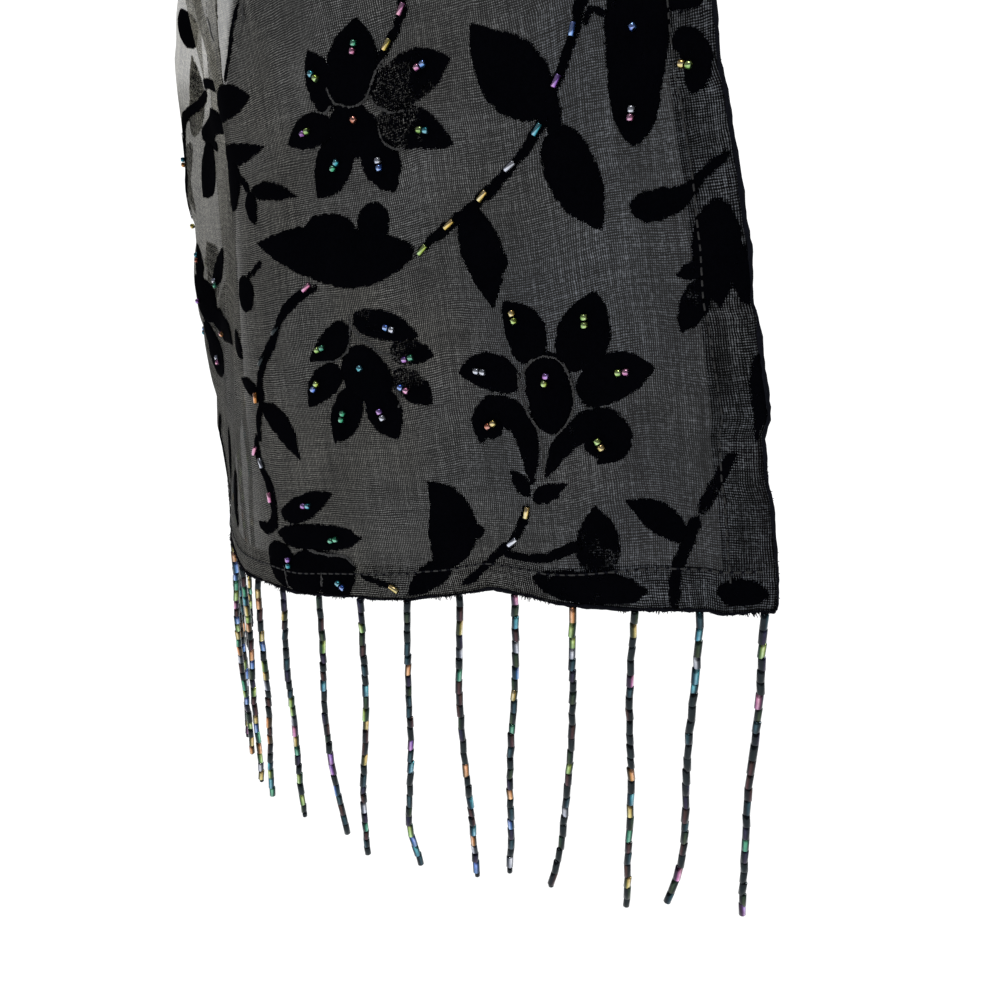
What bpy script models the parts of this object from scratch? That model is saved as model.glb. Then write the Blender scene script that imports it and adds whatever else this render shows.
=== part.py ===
"""Beaded burnout velvet shawl, held up at its middle, with a bead fringe at both ends.

Metres, +Z up. The origin is where the shawl is held: under the crown of its bend.
+X is the viewer's right, and -Y faces the viewer.
"""
import math

import bmesh
import bpy
import numpy as np

# Cut of the cloth: one rectangle, hemmed on all four edges
WIDTH = 0.356
LENGTH = 1.524
WALL = 0.0012
HEM_EXTRA = 0.0006
SIDE_HEM = 0.015
END_HEM = 0.012
SEAM_GAP = 0.0003

# How it hangs: the bend crosses the cloth a little askew, so the left side of the front falls lower
BEND_LENGTH = 0.082
FRONT_LENGTH = 1.033
CORNER_LIFT = 0.003
FRONT_SKEW = 0.024
SKEW_WIDTH = 0.250
SKEW_LAG = 1.2
BEND_RADIUS = 0.026
CROWN_FLATTENING = 0.7
CROWN_CLEARANCE = 0.0004

# Fringe: single strands of bugle beads on a narrow strip
STRANDS = 19
STRAND_LENGTH = 0.096
STRAND_WIDTH = 0.0020
STRIP_HEIGHT = 0.0025
STRIP_GAP = 0.0004
FIRST_STRAND = 0.003
STRAND_JOINTS = 7
HOOK_SHARE = 0.22
SWAY = 0.0008
SWAY_TURNS = 1.1
BOW_TURNS = 0.85
SWAY_START = 0.25
STRAND_PHASE = 1.7

# Sampling of the walls, and the width of the step where a hem begins
FOLD_COLUMNS = 55
HEM_COLUMNS = 4
FRONT_ROWS = 25
BEND_ROWS = 7
BACK_ROWS = 12
FINE = 357
STEP = 0.004
HEM_STEP = 0.0010

# Colours
CLOTH_BLACK = (0.018, 0.018, 0.020, 1.0)
BEAD_DARK = (0.035, 0.060, 0.070, 1.0)

# Vertical folds, from the right edge to the left. share: of the width. depth: against the others.
# lean: how far its ridge tips to one side. fading: how early it dies away going down.
FOLDS = (
    dict(share=0.190, depth=0.96, lean=0.25, fading=0.35),
    dict(share=0.130, depth=1.05, lean=-0.20, fading=0.60),
    dict(share=0.195, depth=0.90, lean=0.30, fading=0.20),
    dict(share=0.150, depth=1.04, lean=-0.15, fading=0.45),
    dict(share=0.190, depth=1.00, lean=0.20, fading=0.10),
    dict(share=0.145, depth=0.94, lean=-0.25, fading=0.30),
)

# Front strands that differ from a plumb one, counted from the right edge. length: of the strand.
# lean: how far the low end drifts to +X. hook: how far the last stretch turns to +X.
OWN_STRANDS = (
    dict(strand=0, length=0.096, lean=0.001, hook=-0.001),
    dict(strand=1, length=0.098, lean=-0.001, hook=-0.004),
    dict(strand=2, length=0.101, lean=0.001, hook=0.001),
    dict(strand=3, length=0.099, lean=-0.001, hook=-0.004),
    dict(strand=4, length=0.100, lean=-0.001, hook=-0.001),
    dict(strand=5, length=0.104, lean=0.004, hook=0.001),
    dict(strand=6, length=0.100, lean=-0.003, hook=0.006),
    dict(strand=7, length=0.099, lean=-0.002, hook=0.001),
    dict(strand=8, length=0.095, lean=0.004, hook=0.001),
    dict(strand=9, length=0.093, lean=0.001, hook=0.002),
    dict(strand=10, length=0.092, lean=0.000, hook=0.000),
    dict(strand=11, length=0.094, lean=0.003, hook=-0.002),
)
PLUMB_STRAND = dict(length=STRAND_LENGTH, lean=0.0, hook=0.0)

# Places across the cloth, from its right edge, at which a section's headings are given
STATIONS = (0.0, 0.070, 0.130, 0.170, 0.205, 0.240, 0.275, 0.315, 0.356)

# Sections of the front fall. down: along the cloth from the bend's front seam. edge: plan place of the
# right edge. fold: how strongly the folds gather it, in radians. heading: degrees from -X towards +Y.
FRONT_SECTIONS = (
    dict(down=0.000, edge=(0.078, -0.039), fold=1.65, heading=(0, 0, 0, 0, 0, 0, 0, 0, 0)),
    dict(down=0.280, edge=(0.086, -0.047), fold=1.62, heading=(6, 4, 3, 4, 6, 10, 8, 10, 12)),
    dict(down=0.510, edge=(0.104, -0.064), fold=1.48, heading=(14, 11, 9, 14, 20, 26, 22, 26, 30)),
    dict(down=0.690, edge=(0.122, -0.088), fold=1.10, heading=(23, 19, 22, 34, 50, 58, 54, 62, 68)),
    dict(down=0.795, edge=(0.134, -0.108), fold=0.68, heading=(26, 22, 26, 46, 72, 76, 74, 90, 98)),
    dict(down=0.885, edge=(0.146, -0.123), fold=0.26, heading=(28, 25, 30, 58, 80, 60, 58, 90, 106)),
    dict(down=0.970, edge=(0.158, -0.136), fold=0.10, heading=(28, 25, 28, 46, 74, 66, 62, 88, 102)),
    dict(down=1.052, edge=(0.1680, -0.1465), fold=0.06, heading=(28, 25, 28, 41, 57, 72, 76, 82, 90)),
)

# Sections of the back fall, in the same way; its folds are the front's, seen from behind
BACK_SECTIONS = (
    dict(down=0.000, edge=(0.078, 0.039), fold=1.65, heading=(0, 0, 0, 0, 0, 0, 0, 0, 0)),
    dict(down=0.140, edge=(0.082, 0.047), fold=1.60, heading=(4, 2, -2, -2, 2, 6, 8, 8, 8)),
    dict(down=0.280, edge=(0.094, 0.060), fold=1.46, heading=(8, 2, -6, -6, 4, 12, 14, 12, 10)),
    dict(down=0.400, edge=(0.106, 0.070), fold=1.28, heading=(12, 4, -8, -8, 4, 14, 18, 14, 10)),
)


def through(xs, ys, x):
    """Reads a smooth curve through a few points, held level past its ends."""
    xs = np.asarray(xs, float)
    ys = np.asarray(ys, float)
    slopes = np.gradient(ys, xs, axis=0)
    x = np.clip(x, xs[0], xs[-1])
    i = np.clip(np.searchsorted(xs, x, side="right") - 1, 0, len(xs) - 2)
    span = xs[i + 1] - xs[i]
    t = (x - xs[i]) / span
    if ys.ndim > 1 and np.ndim(t):
        t = t[:, None]
        span = span[:, None]
    return ((2 * t**3 - 3 * t**2 + 1) * ys[i] + (t**3 - 2 * t**2 + t) * span * slopes[i]
            + (3 * t**2 - 2 * t**3) * ys[i + 1] + (t**3 - t**2) * span * slopes[i + 1])


def fold_wave(across, strength):
    """Headings that the vertical folds add: one full wave for each fold."""
    ends = WIDTH * np.cumsum([0.0] + [fold["share"] for fold in FOLDS])
    i = np.clip(np.searchsorted(ends, across, side="right") - 1, 0, len(FOLDS) - 1)
    turn = 2 * math.pi * (across - ends[i]) / (ends[i + 1] - ends[i])
    depth, lean, fading = (np.array([fold[key] for fold in FOLDS])[i] for key in ("depth", "lean", "fading"))
    faded = strength * (strength / FRONT_SECTIONS[0]["fold"]) ** fading
    return faded * depth * np.sin(turn + lean * np.sin(turn))


def plan(sections, side, down, across):
    """Plan curve of the cloth at one distance down: the headings summed up across it."""
    downs = [row["down"] for row in sections]
    fold = through(downs, [row["fold"] for row in sections], down)
    edge = through(downs, [row["edge"] for row in sections], down)
    base = through(downs, [row["heading"] for row in sections], down)
    fine = np.linspace(0, WIDTH, FINE)
    heading = np.radians(through(STATIONS, base, fine)) + side * fold_wave(fine, fold)
    middle = (heading[1:] + heading[:-1]) / 2
    stride = fine[1] - fine[0]
    x = edge[0] - np.concatenate([[0], np.cumsum(np.cos(middle) * stride)])
    y = edge[1] + np.concatenate([[0], np.cumsum(np.sin(middle) * stride)])
    return np.interp(across, fine, x), np.interp(across, fine, y)


def crown_profile(across):
    """Places across the bend, and how far each stands out from its mean radius."""
    x, y = plan(FRONT_SECTIONS, 1, 0.0, across)
    return x, -y - BEND_RADIUS


def seam_height():
    """Height of the bend's seams, which puts the underside of its crown just above the origin."""
    out = crown_profile(np.linspace(0, WIDTH, FINE))[1]
    return WALL / 2 + CROWN_CLEARANCE - (BEND_RADIUS + out.min() * (1 - CROWN_FLATTENING))


def fall(sections, side, across, length):
    """Surface of a hanging stretch. Rows go down, and every column keeps its own length."""
    reach = sections[-1]["down"]
    steps = int(reach / STEP)
    stride = length / steps
    rows = [np.stack([*plan(sections, side, 0.0, across), np.full(len(across), seam_height())], 1)]
    for k in range(1, steps + 1):
        x, y = plan(sections, side, reach * k / steps, across)
        last = rows[-1]
        drop = np.sqrt(stride**2 - (x - last[:, 0])**2 - (y - last[:, 1])**2)
        rows.append(np.stack([x, y, last[:, 2] - drop], 1))
    return np.array(rows)


def front_length(across):
    """Length of the front fall's columns: its left side falls lower, and its right corner is lifted."""
    t = np.minimum(across / SKEW_WIDTH, 1.0) ** SKEW_LAG
    lift = CORNER_LIFT * np.exp(-across / SIDE_HEM)
    return FRONT_LENGTH - lift + FRONT_SKEW * (3 * t**2 - 2 * t**3)


def back_length(across):
    """Length of the back fall's columns: what the rest of the cut leaves."""
    return LENGTH - BEND_LENGTH - front_length(across)


def bend(across, rows):
    """Surface over what holds the shawl, from the front seam to the back seam."""
    x, out = crown_profile(across)
    surface = []
    for k in range(rows):
        angle = math.pi * (k / (rows - 1) - 0.5)
        radius = BEND_RADIUS + out * (1 - CROWN_FLATTENING * math.cos(angle))
        surface.append(np.stack([x, radius * math.sin(angle), seam_height() + radius * math.cos(angle)], 1))
    return np.array(surface)


def normals(surface):
    """Unit normals of a grid of points."""
    along = np.gradient(surface, axis=0)
    over = np.gradient(surface, axis=1)
    cross = np.cross(over, along)
    return cross / np.linalg.norm(cross, axis=2, keepdims=True)


def columns():
    """Places of the wall's columns: even but for a close pair where each side hem ends."""
    inner = np.linspace(SIDE_HEM + HEM_STEP, WIDTH - SIDE_HEM - HEM_STEP, FOLD_COLUMNS)
    hem = np.linspace(0, SIDE_HEM, HEM_COLUMNS)
    return np.concatenate([hem, inner, WIDTH - hem[::-1]])


def sample_rows(surface, places):
    """Reads a finely stepped surface at a few places, from 0 at its top to 1 at its foot."""
    at = np.asarray(places) * (len(surface) - 1)
    low = np.minimum(at.astype(int), len(surface) - 2)
    t = (at - low)[:, None, None]
    return surface[low] * (1 - t) + surface[low + 1] * t


def wall(name, surface, outward, seams, extra, material):
    """Closed wall: the surface moved half a wall out and half a wall in, more where it is hemmed."""
    out = normals(surface) * outward
    for seam in seams:
        out[seam, :, 2] = 0
        out[seam] /= np.linalg.norm(out[seam], axis=1, keepdims=True)
    rows, places = surface.shape[:2]
    mesh = bmesh.new()
    outer = [[mesh.verts.new(p) for p in row] for row in surface + out * WALL / 2]
    inner = [[mesh.verts.new(p) for p in row] for row in surface - out * (WALL / 2 + extra[:, :, None])]
    for i in range(rows - 1):
        for j in range(places - 1):
            mesh.faces.new((outer[i][j], outer[i][j + 1], outer[i + 1][j + 1], outer[i + 1][j]))
            mesh.faces.new((inner[i][j], inner[i + 1][j], inner[i + 1][j + 1], inner[i][j + 1]))
    for j in range(places - 1):
        mesh.faces.new((outer[0][j + 1], outer[0][j], inner[0][j], inner[0][j + 1]))
        mesh.faces.new((outer[-1][j], outer[-1][j + 1], inner[-1][j + 1], inner[-1][j]))
    for i in range(rows - 1):
        mesh.faces.new((outer[i][0], outer[i + 1][0], inner[i + 1][0], inner[i][0]))
        mesh.faces.new((outer[i + 1][-1], outer[i][-1], inner[i][-1], inner[i + 1][-1]))
    return finish(name, mesh, material)


def finish(name, mesh, material):
    """Turns a bmesh into a named object with its faces outwards."""
    bmesh.ops.triangulate(mesh, faces=mesh.faces[:])
    bmesh.ops.recalc_face_normals(mesh, faces=mesh.faces[:])
    data = bpy.data.meshes.new(name)
    mesh.to_mesh(data)
    mesh.free()
    data.materials.append(material)
    piece = bpy.data.objects.new(name, data)
    bpy.context.collection.objects.link(piece)
    return piece


def hem_extra(across, down, length):
    """Extra thickness where the cloth is turned under, at each row and column."""
    side = (across <= SIDE_HEM) | (across >= WIDTH - SIDE_HEM)
    end = down >= length - END_HEM if length else np.zeros(len(down), bool)
    return np.where(side[None, :] | end[:, None], HEM_EXTRA, 0.0)


def hanging_wall(name, sections, side, lengths, rows, material):
    """A fall: its wall, with its side hems and its end hem."""
    across = columns()
    length = lengths(across)
    surface = fall(sections, side, across, length)
    surface[0, :, 2] -= SEAM_GAP / 2
    long = length.mean()
    hem = 1 - END_HEM / long
    places = np.concatenate([np.linspace(0, hem - HEM_STEP / long, rows), [hem, 1.0]])
    grid = sample_rows(surface, places)
    return wall(name, grid, side, (0, -1), hem_extra(across, places * long, long - HEM_STEP / 4), material)


def bend_wall(name, material):
    """The stretch over the hold, a seam gap short of both falls."""
    across = columns()
    surface = bend(across, BEND_ROWS)
    surface[0, :, 2] += SEAM_GAP / 2
    surface[-1, :, 2] += SEAM_GAP / 2
    down = np.zeros(BEND_ROWS)
    return wall(name, surface, -1, (0, -1), hem_extra(across, down, 0), material)


def strand_path(root, strand, phase):
    """Points down one strand: plumb but for its lean, a turned end and a slight sway."""
    stride = strand["length"] / STRAND_JOINTS
    points = [np.array(root)]
    offsets = []
    for k in range(STRAND_JOINTS + 1):
        t = k / STRAND_JOINTS
        turned = max(0.0, (t - 1 + HOOK_SHARE) / HOOK_SHARE)
        swing = SWAY * min(1.0, t / SWAY_START)
        sway = swing * math.sin(2 * math.pi * SWAY_TURNS * t + phase)
        bow = swing * math.sin(2 * math.pi * BOW_TURNS * t + 2 * phase)
        offsets.append((strand["lean"] * t**2 + strand["hook"] * turned**1.5 + sway, bow))
    for before, after in zip(offsets, offsets[1:]):
        sideways = after[0] - before[0]
        deep = after[1] - before[1]
        drop = math.sqrt(stride**2 - sideways**2 - deep**2)
        points.append(points[-1] + np.array([sideways, deep, -drop]))
    return points


def fringe(name, sections, side, lengths, own_strands, material):
    """A narrow strip along the end hem, with its strands grown from its underside."""
    middles = np.linspace(FIRST_STRAND, WIDTH - FIRST_STRAND, STRANDS)
    half = STRAND_WIDTH / 2
    between = [s for s in columns() if np.abs(middles - s).min() > STRAND_WIDTH]
    ends = [0.0, WIDTH]
    places = np.array(sorted({*between, *ends, *(middles - half), *(middles + half)}))
    roots = set(np.searchsorted(places, middles - half))
    hem = fall(sections, side, places, lengths(places))[-1]
    along = np.gradient(hem, axis=0)
    level = np.stack([along[:, 1], -along[:, 0], np.zeros(len(hem))], 1)
    level /= np.linalg.norm(level, axis=1, keepdims=True)
    top = hem - np.array([0, 0, STRIP_GAP])
    low = top - np.array([0, 0, STRIP_HEIGHT])
    mesh = bmesh.new()
    rings = []
    for high, foot, across in zip(top, low, level * half):
        rings.append([mesh.verts.new(p) for p in (high + across, high - across, foot - across, foot + across)])
    mesh.faces.new(rings[0])
    mesh.faces.new(rings[-1][::-1])
    stretches = []
    for a, b in zip(rings, rings[1:]):
        mesh.faces.new((a[0], b[0], b[1], a[1]))
        mesh.faces.new((a[1], b[1], b[2], a[2]))
        mesh.faces.new((a[3], b[3], b[0], a[0]))
        stretches.append((a[3], a[2], b[2], b[3]))
    settings = {row["strand"]: row for row in own_strands}
    strand = -1
    for k, foot in enumerate(stretches):
        if k not in roots:
            mesh.faces.new(foot[::-1])
            continue
        strand += 1
        root = np.mean([v.co for v in foot], axis=0)
        ring = foot
        for point in strand_path(root, settings.get(strand, PLUMB_STRAND), STRAND_PHASE * strand)[1:]:
            shift = point - root
            lower = [mesh.verts.new(np.array(v.co) + shift) for v in foot]
            for n in range(4):
                mesh.faces.new((ring[n], ring[(n + 1) % 4], lower[(n + 1) % 4], lower[n]))
            ring = lower
        mesh.faces.new(ring)
    return finish(name, mesh, material)


def surface_material(name, colour, roughness, metallic):
    """A plain finish for one kind of piece."""
    material = bpy.data.materials.new(name)
    material.use_nodes = True
    shader = material.node_tree.nodes["Principled BSDF"]
    shader.inputs["Base Color"].default_value = colour
    shader.inputs["Roughness"].default_value = roughness
    shader.inputs["Metallic"].default_value = metallic
    return material


def main():
    for piece in list(bpy.data.objects):
        bpy.data.objects.remove(piece, do_unlink=True)
    velvet = surface_material("burnout_velvet", CLOTH_BLACK, 0.85, 0.0)
    beads = surface_material("glass_beads", BEAD_DARK, 0.25, 0.4)
    hanging_wall("front_fall", FRONT_SECTIONS, 1, front_length, FRONT_ROWS, velvet)
    bend_wall("top_bend", velvet)
    hanging_wall("back_fall", BACK_SECTIONS, -1, back_length, BACK_ROWS, velvet)
    fringe("front_fringe", FRONT_SECTIONS, 1, front_length, OWN_STRANDS, beads)
    fringe("back_fringe", BACK_SECTIONS, -1, back_length, (), beads)


if __name__ == "__main__":
    main()
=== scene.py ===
"""Beaded burnout velvet shawl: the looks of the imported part, in its own frame.

Metres, +Z up. The cloth hangs from the origin, and its front faces -Y. A place on the cloth is given as
the distance across it from its right edge, and the distance up along it from the front hem.
"""
import functools
import math
import random

import bmesh
import bpy
import numpy as np
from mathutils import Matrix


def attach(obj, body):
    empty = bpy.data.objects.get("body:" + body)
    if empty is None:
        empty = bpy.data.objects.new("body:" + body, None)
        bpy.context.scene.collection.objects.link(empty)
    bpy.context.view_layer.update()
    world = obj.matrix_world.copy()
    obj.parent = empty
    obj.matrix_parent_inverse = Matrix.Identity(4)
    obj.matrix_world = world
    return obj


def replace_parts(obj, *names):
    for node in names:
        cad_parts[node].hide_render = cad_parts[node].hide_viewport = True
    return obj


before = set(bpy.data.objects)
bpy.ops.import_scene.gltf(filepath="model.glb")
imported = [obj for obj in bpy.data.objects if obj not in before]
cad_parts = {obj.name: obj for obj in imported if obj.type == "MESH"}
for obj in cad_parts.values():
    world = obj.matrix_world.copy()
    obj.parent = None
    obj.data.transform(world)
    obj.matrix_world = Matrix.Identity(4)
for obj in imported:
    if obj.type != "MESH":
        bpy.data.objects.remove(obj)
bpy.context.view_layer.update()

bl_info = {
    "name": "Burnout velvet shawl",
    "version": (1, 0, 0),
    "blender": (4, 5, 0),
    "location": "View3D > Sidebar > Shawl",
    "description": "Builds a sheer shawl with velvet flowers, sewn beads and a bead fringe",
    "category": "Add Mesh",
}

MM = 0.001

# Cut of the cloth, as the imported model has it
WIDTH = 0.356
LENGTH = 1.524
WALL = 0.0012
SIDE_HEM = 0.015
END_HEM = 0.012

# How it hangs: over the bend, and with a front whose left side falls lower by the skew
BEND_LENGTH = 0.082
FRONT_LENGTH = 1.033
CORNER_LIFT = 0.003
FRONT_SKEW = 0.024
SKEW_WIDTH = 0.250
SKEW_LAG = 1.2
BEND_RADIUS = 0.026
CROWN_FLATTENING = 0.7
CROWN_CLEARANCE = 0.0004

# Steps of its working out: places across, and the distance from row to row
FINE = 357
STEP = 0.004

# Fringe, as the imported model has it. A strand hooks over its last share, and sways and bows by turns.
STRANDS = 19
STRAND_LENGTH = 0.096
FIRST_STRAND = 0.003
STRAND_JOINTS = 7
HOOK_SHARE = 0.22
SWAY = 0.0008
SWAY_TURNS = 1.1
BOW_TURNS = 0.85
SWAY_START = 0.25
STRAND_PHASE = 1.7

# Sampling of the cloth, and how its turned hems lie behind it
COLUMNS = 216
FRONT_ROWS = 400
BEND_ROWS = 40
BACK_ROWS = 170
HEM_LAYER = 0.00045
HEM_ROLL = 0.0008
SIDE_HEM_STEPS = 9
END_HEM_STEPS = 7

# Velvet pieces, by the distance up the cloth from which their shapes lie
VELVET_STARTS = {"velvet_front": 0.0, "velvet_upper": 0.5, "velvet_bend": 1.03, "velvet_back": 1.12}

# A shape's rim stands off the cloth by the lift, each of three in turn by a little more, and its pile
# spreads past its stated width by so many millimetres
PAD_LIFT = 0.00012
PAD_STAGGER = 0.00003
PILE_SPREAD = 0.45

# Threads of the sheer ground
WARP_PITCH = 0.00067
WEFT_PITCH = 0.00070

# Where the ground is more open, as soft steps up or down from 0 to 1: the left side, the palest patch
# beside the upper left stem, and the stretch that turns away. There it is also painted lighter and warmer,
# as if lit from behind
OPEN_ACROSS = (0.172, 0.205)
OPEN_START = (0.05, 0.12)
OPEN_END = (0.26, 0.60)
PATCH_START = (0.168, 0.178)
PATCH_END = (0.30, 0.40)
TURNED_ACROSS = (0.290, 0.304)
TURNED_START = (0.05, 0.13)
TURNED_END = (0.24, 0.34)

# Hem stitches, in from the inner edge of their hem, and those of the end hems at a slant
STITCH_WIDTH = 0.00050
STITCH_HEIGHT = 0.00034
STITCH_LIFT = 0.00052
# Lift of the dark dashes of painted shade between the end hem stitches
SHADE_DASH_LIFT = 0.00044
SIDE_STITCH_INSET = 0.0025
END_STITCH_INSET = 0.0018
STITCH_SLANT = 0.022
SLANT_MIDDLE = 0.060

# Rolled edges and their tufts, and the steps along the cloth that aim a tuft and a bead
EDGE_RADIUS = 0.00045
TUFT_ROOT = 0.00022
TUFT_TIP = 0.00006
TUFT_REACH = 0.003
SMALL_STEP = 0.0004

# Starts of the random draws
SEEDS = dict(petal_beads=11, stem_beads=12, stitches=5, tufts=31, edges=8, fringe_front=21, fringe_back=22)

# Threading of the fringe beads. The spacing is the share of its length that a bead moves the next one on.
THREAD_RADIUS = 0.0003
STRAND_EXTRA = 0.0029
BEAD_SPACING = 0.91

# Studio, with the camera where the photo's stood
FLOOR_PLACE = (0, 0, -2.3)
FLOOR_HALF = 30.0
CAMERA_PLACE = (0.091, -0.400, -0.9292)
CAMERA_TILT = 73
CAMERA_LENS = 36.0
BACKDROP = (1.15, 1.15, 1.15, 1.0)
SOFT_FILL = (0.50, 0.51, 0.53, 1.0)
SEEN_IN_GLASS = (0.10, 0.10, 0.11, 1.0)
PAPER = (0.95, 0.95, 0.95, 1.0)


def table(columns, *rows):
    """Rows of a table as dicts. columns: what each value of a row is. Last values may be left out."""
    return tuple(dict(zip(columns.split(), row)) for row in rows)


# Lights. size: a sun's angle, or the sides of an area.
LAMPS = table(
    "name kind place target energy size colour",
    ("high_light", "SUN", (-2.4, -2.0, 1.4), (0, 0, -1), 3.6, math.radians(24), (1.0, 0.99, 0.97)),
    ("left_box", "AREA", (-1.1, -1.5, -0.35), (0.05, 0.0, -1.0), 14.0, (0.5, 1.2), (1.0, 0.98, 0.95)),
    ("right_box", "AREA", (1.4, -1.2, -0.55), (0.05, 0.0, -1.0), 9.0, (0.4, 1.0), (0.93, 0.96, 1.0)),
)

# Vertical folds, from the right edge to the left. share: of the width. depth: against the others.
# lean: how far its ridge tips to one side. fading: how early it dies away going down.
FOLDS = table(
    "share depth lean fading",
    (0.190, 0.96, 0.25, 0.35), (0.130, 1.05, -0.20, 0.60), (0.195, 0.90, 0.30, 0.20),
    (0.150, 1.04, -0.15, 0.45), (0.190, 1.00, 0.20, 0.10), (0.145, 0.94, -0.25, 0.30),
)

# Places across the cloth at which a section's headings are given
STATIONS = (0.0, 0.070, 0.130, 0.170, 0.205, 0.240, 0.275, 0.315, 0.356)

# Sections of the falls. down: along the cloth from the bend's seam. edge: plan place of the right edge.
# fold: how strongly the folds gather it, in radians. heading: degrees from -X towards +Y.
FRONT_SECTIONS = table(
    "down edge fold heading",
    (0.000, (0.078, -0.039), 1.65, (0, 0, 0, 0, 0, 0, 0, 0, 0)),
    (0.280, (0.086, -0.047), 1.62, (6, 4, 3, 4, 6, 10, 8, 10, 12)),
    (0.510, (0.104, -0.064), 1.48, (14, 11, 9, 14, 20, 26, 22, 26, 30)),
    (0.690, (0.122, -0.088), 1.10, (23, 19, 22, 34, 50, 58, 54, 62, 68)),
    (0.795, (0.134, -0.108), 0.68, (26, 22, 26, 46, 72, 76, 74, 90, 98)),
    (0.885, (0.146, -0.123), 0.26, (28, 25, 30, 58, 80, 60, 58, 90, 106)),
    (0.970, (0.158, -0.136), 0.10, (28, 25, 28, 46, 74, 66, 62, 88, 102)),
    (1.052, (0.1680, -0.1465), 0.06, (28, 25, 28, 41, 57, 72, 76, 82, 90)),
)
BACK_SECTIONS = table(
    "down edge fold heading",
    (0.000, (0.078, 0.039), 1.65, (0, 0, 0, 0, 0, 0, 0, 0, 0)),
    (0.140, (0.082, 0.047), 1.60, (4, 2, -2, -2, 2, 6, 8, 8, 8)),
    (0.280, (0.094, 0.060), 1.46, (8, 2, -6, -6, 4, 12, 14, 12, 10)),
    (0.400, (0.106, 0.070), 1.28, (12, 4, -8, -8, 4, 14, 18, 14, 10)),
)

# Soft creases on top of the folds, in millimetres. turn: degrees from straight across. deep: above
# nought it is a ridge, below it a trough.
CREASES = table(
    "across up turn long wide deep",
    (17, 120, 87, 170, 6, 1.0), (34, 60, 80, 110, 9, -0.9), (55, 112, 68, 90, 8, 0.7),
    (88, 72, 96, 120, 10, -0.8), (104, 22, 74, 46, 7, 0.8), (126, 36, 100, 60, 9, 0.9),
    (139, 130, 84, 140, 9, -1.0), (152, 88, 77, 120, 7, 1.1), (160, 14, 60, 34, 6, -0.9),
    (74, 160, 112, 80, 8, 0.8), (30, 196, 78, 130, 11, -1.3), (118, 214, 92, 150, 10, 1.4),
    (196, 150, 86, 150, 8, -1.2), (214, 60, 94, 110, 7, 1.1), (236, 180, 81, 170, 9, 1.3),
    (262, 96, 97, 130, 9, -1.2), (284, 40, 84, 80, 7, 1.0), (301, 150, 91, 150, 10, -1.3),
    (325, 80, 79, 120, 8, 1.2), (60, 310, 83, 200, 11, 1.6), (140, 380, 99, 170, 9, -1.5),
    (205, 330, 76, 150, 10, 1.4), (290, 300, 88, 210, 12, -1.6), (25, 470, 93, 190, 9, -1.3),
    (98, 520, 81, 230, 12, 1.7), (176, 560, 95, 180, 9, -1.4), (250, 500, 86, 240, 11, 1.6),
    (330, 460, 90, 200, 10, -1.4), (50, 700, 86, 240, 10, 1.5), (130, 740, 94, 200, 9, -1.5),
    (220, 780, 84, 210, 11, 1.5), (305, 710, 92, 230, 10, -1.5), (80, 930, 88, 190, 8, 1.1),
    (190, 960, 91, 160, 8, -1.1), (280, 920, 85, 190, 9, 1.2), (45, 1250, 87, 180, 9, 1.3),
    (120, 1320, 95, 190, 10, -1.4), (200, 1280, 82, 170, 9, 1.3), (275, 1360, 93, 160, 10, -1.3),
    (330, 1260, 88, 200, 8, 1.2), (90, 1440, 78, 100, 9, 1.2), (240, 1450, 98, 90, 8, -1.1),
)

# Half widths of a velvet shape, from its base to its tip, against its widest place
SHAPES = {
    "petal": (0.42, 0.74, 0.89, 0.97, 1.00, 0.99, 0.93, 0.82, 0.64, 0.38, 0.05),
    "drop": (0.35, 0.78, 0.94, 1.00, 0.98, 0.92, 0.86, 0.79, 0.70, 0.52, 0.15),
    "leaf": (0.22, 0.58, 0.82, 0.95, 1.00, 0.98, 0.90, 0.76, 0.55, 0.30, 0.03),
    "oval": (0.22, 0.70, 0.88, 0.97, 1.00, 1.00, 0.97, 0.92, 0.80, 0.58, 0.10),
    "stem": (0.60, 0.95, 1.05, 0.86, 1.00, 1.10, 0.88, 1.06, 0.92, 1.04, 0.50),
    "hook": (0.14, 0.42, 0.62, 0.78, 0.90, 1.00, 1.04, 1.02, 0.92, 0.66, 0.10),
    "paddle": (0.40, 0.92, 1.00, 0.98, 0.86, 0.66, 0.50, 0.42, 0.40, 0.36, 0.26),
}

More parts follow.
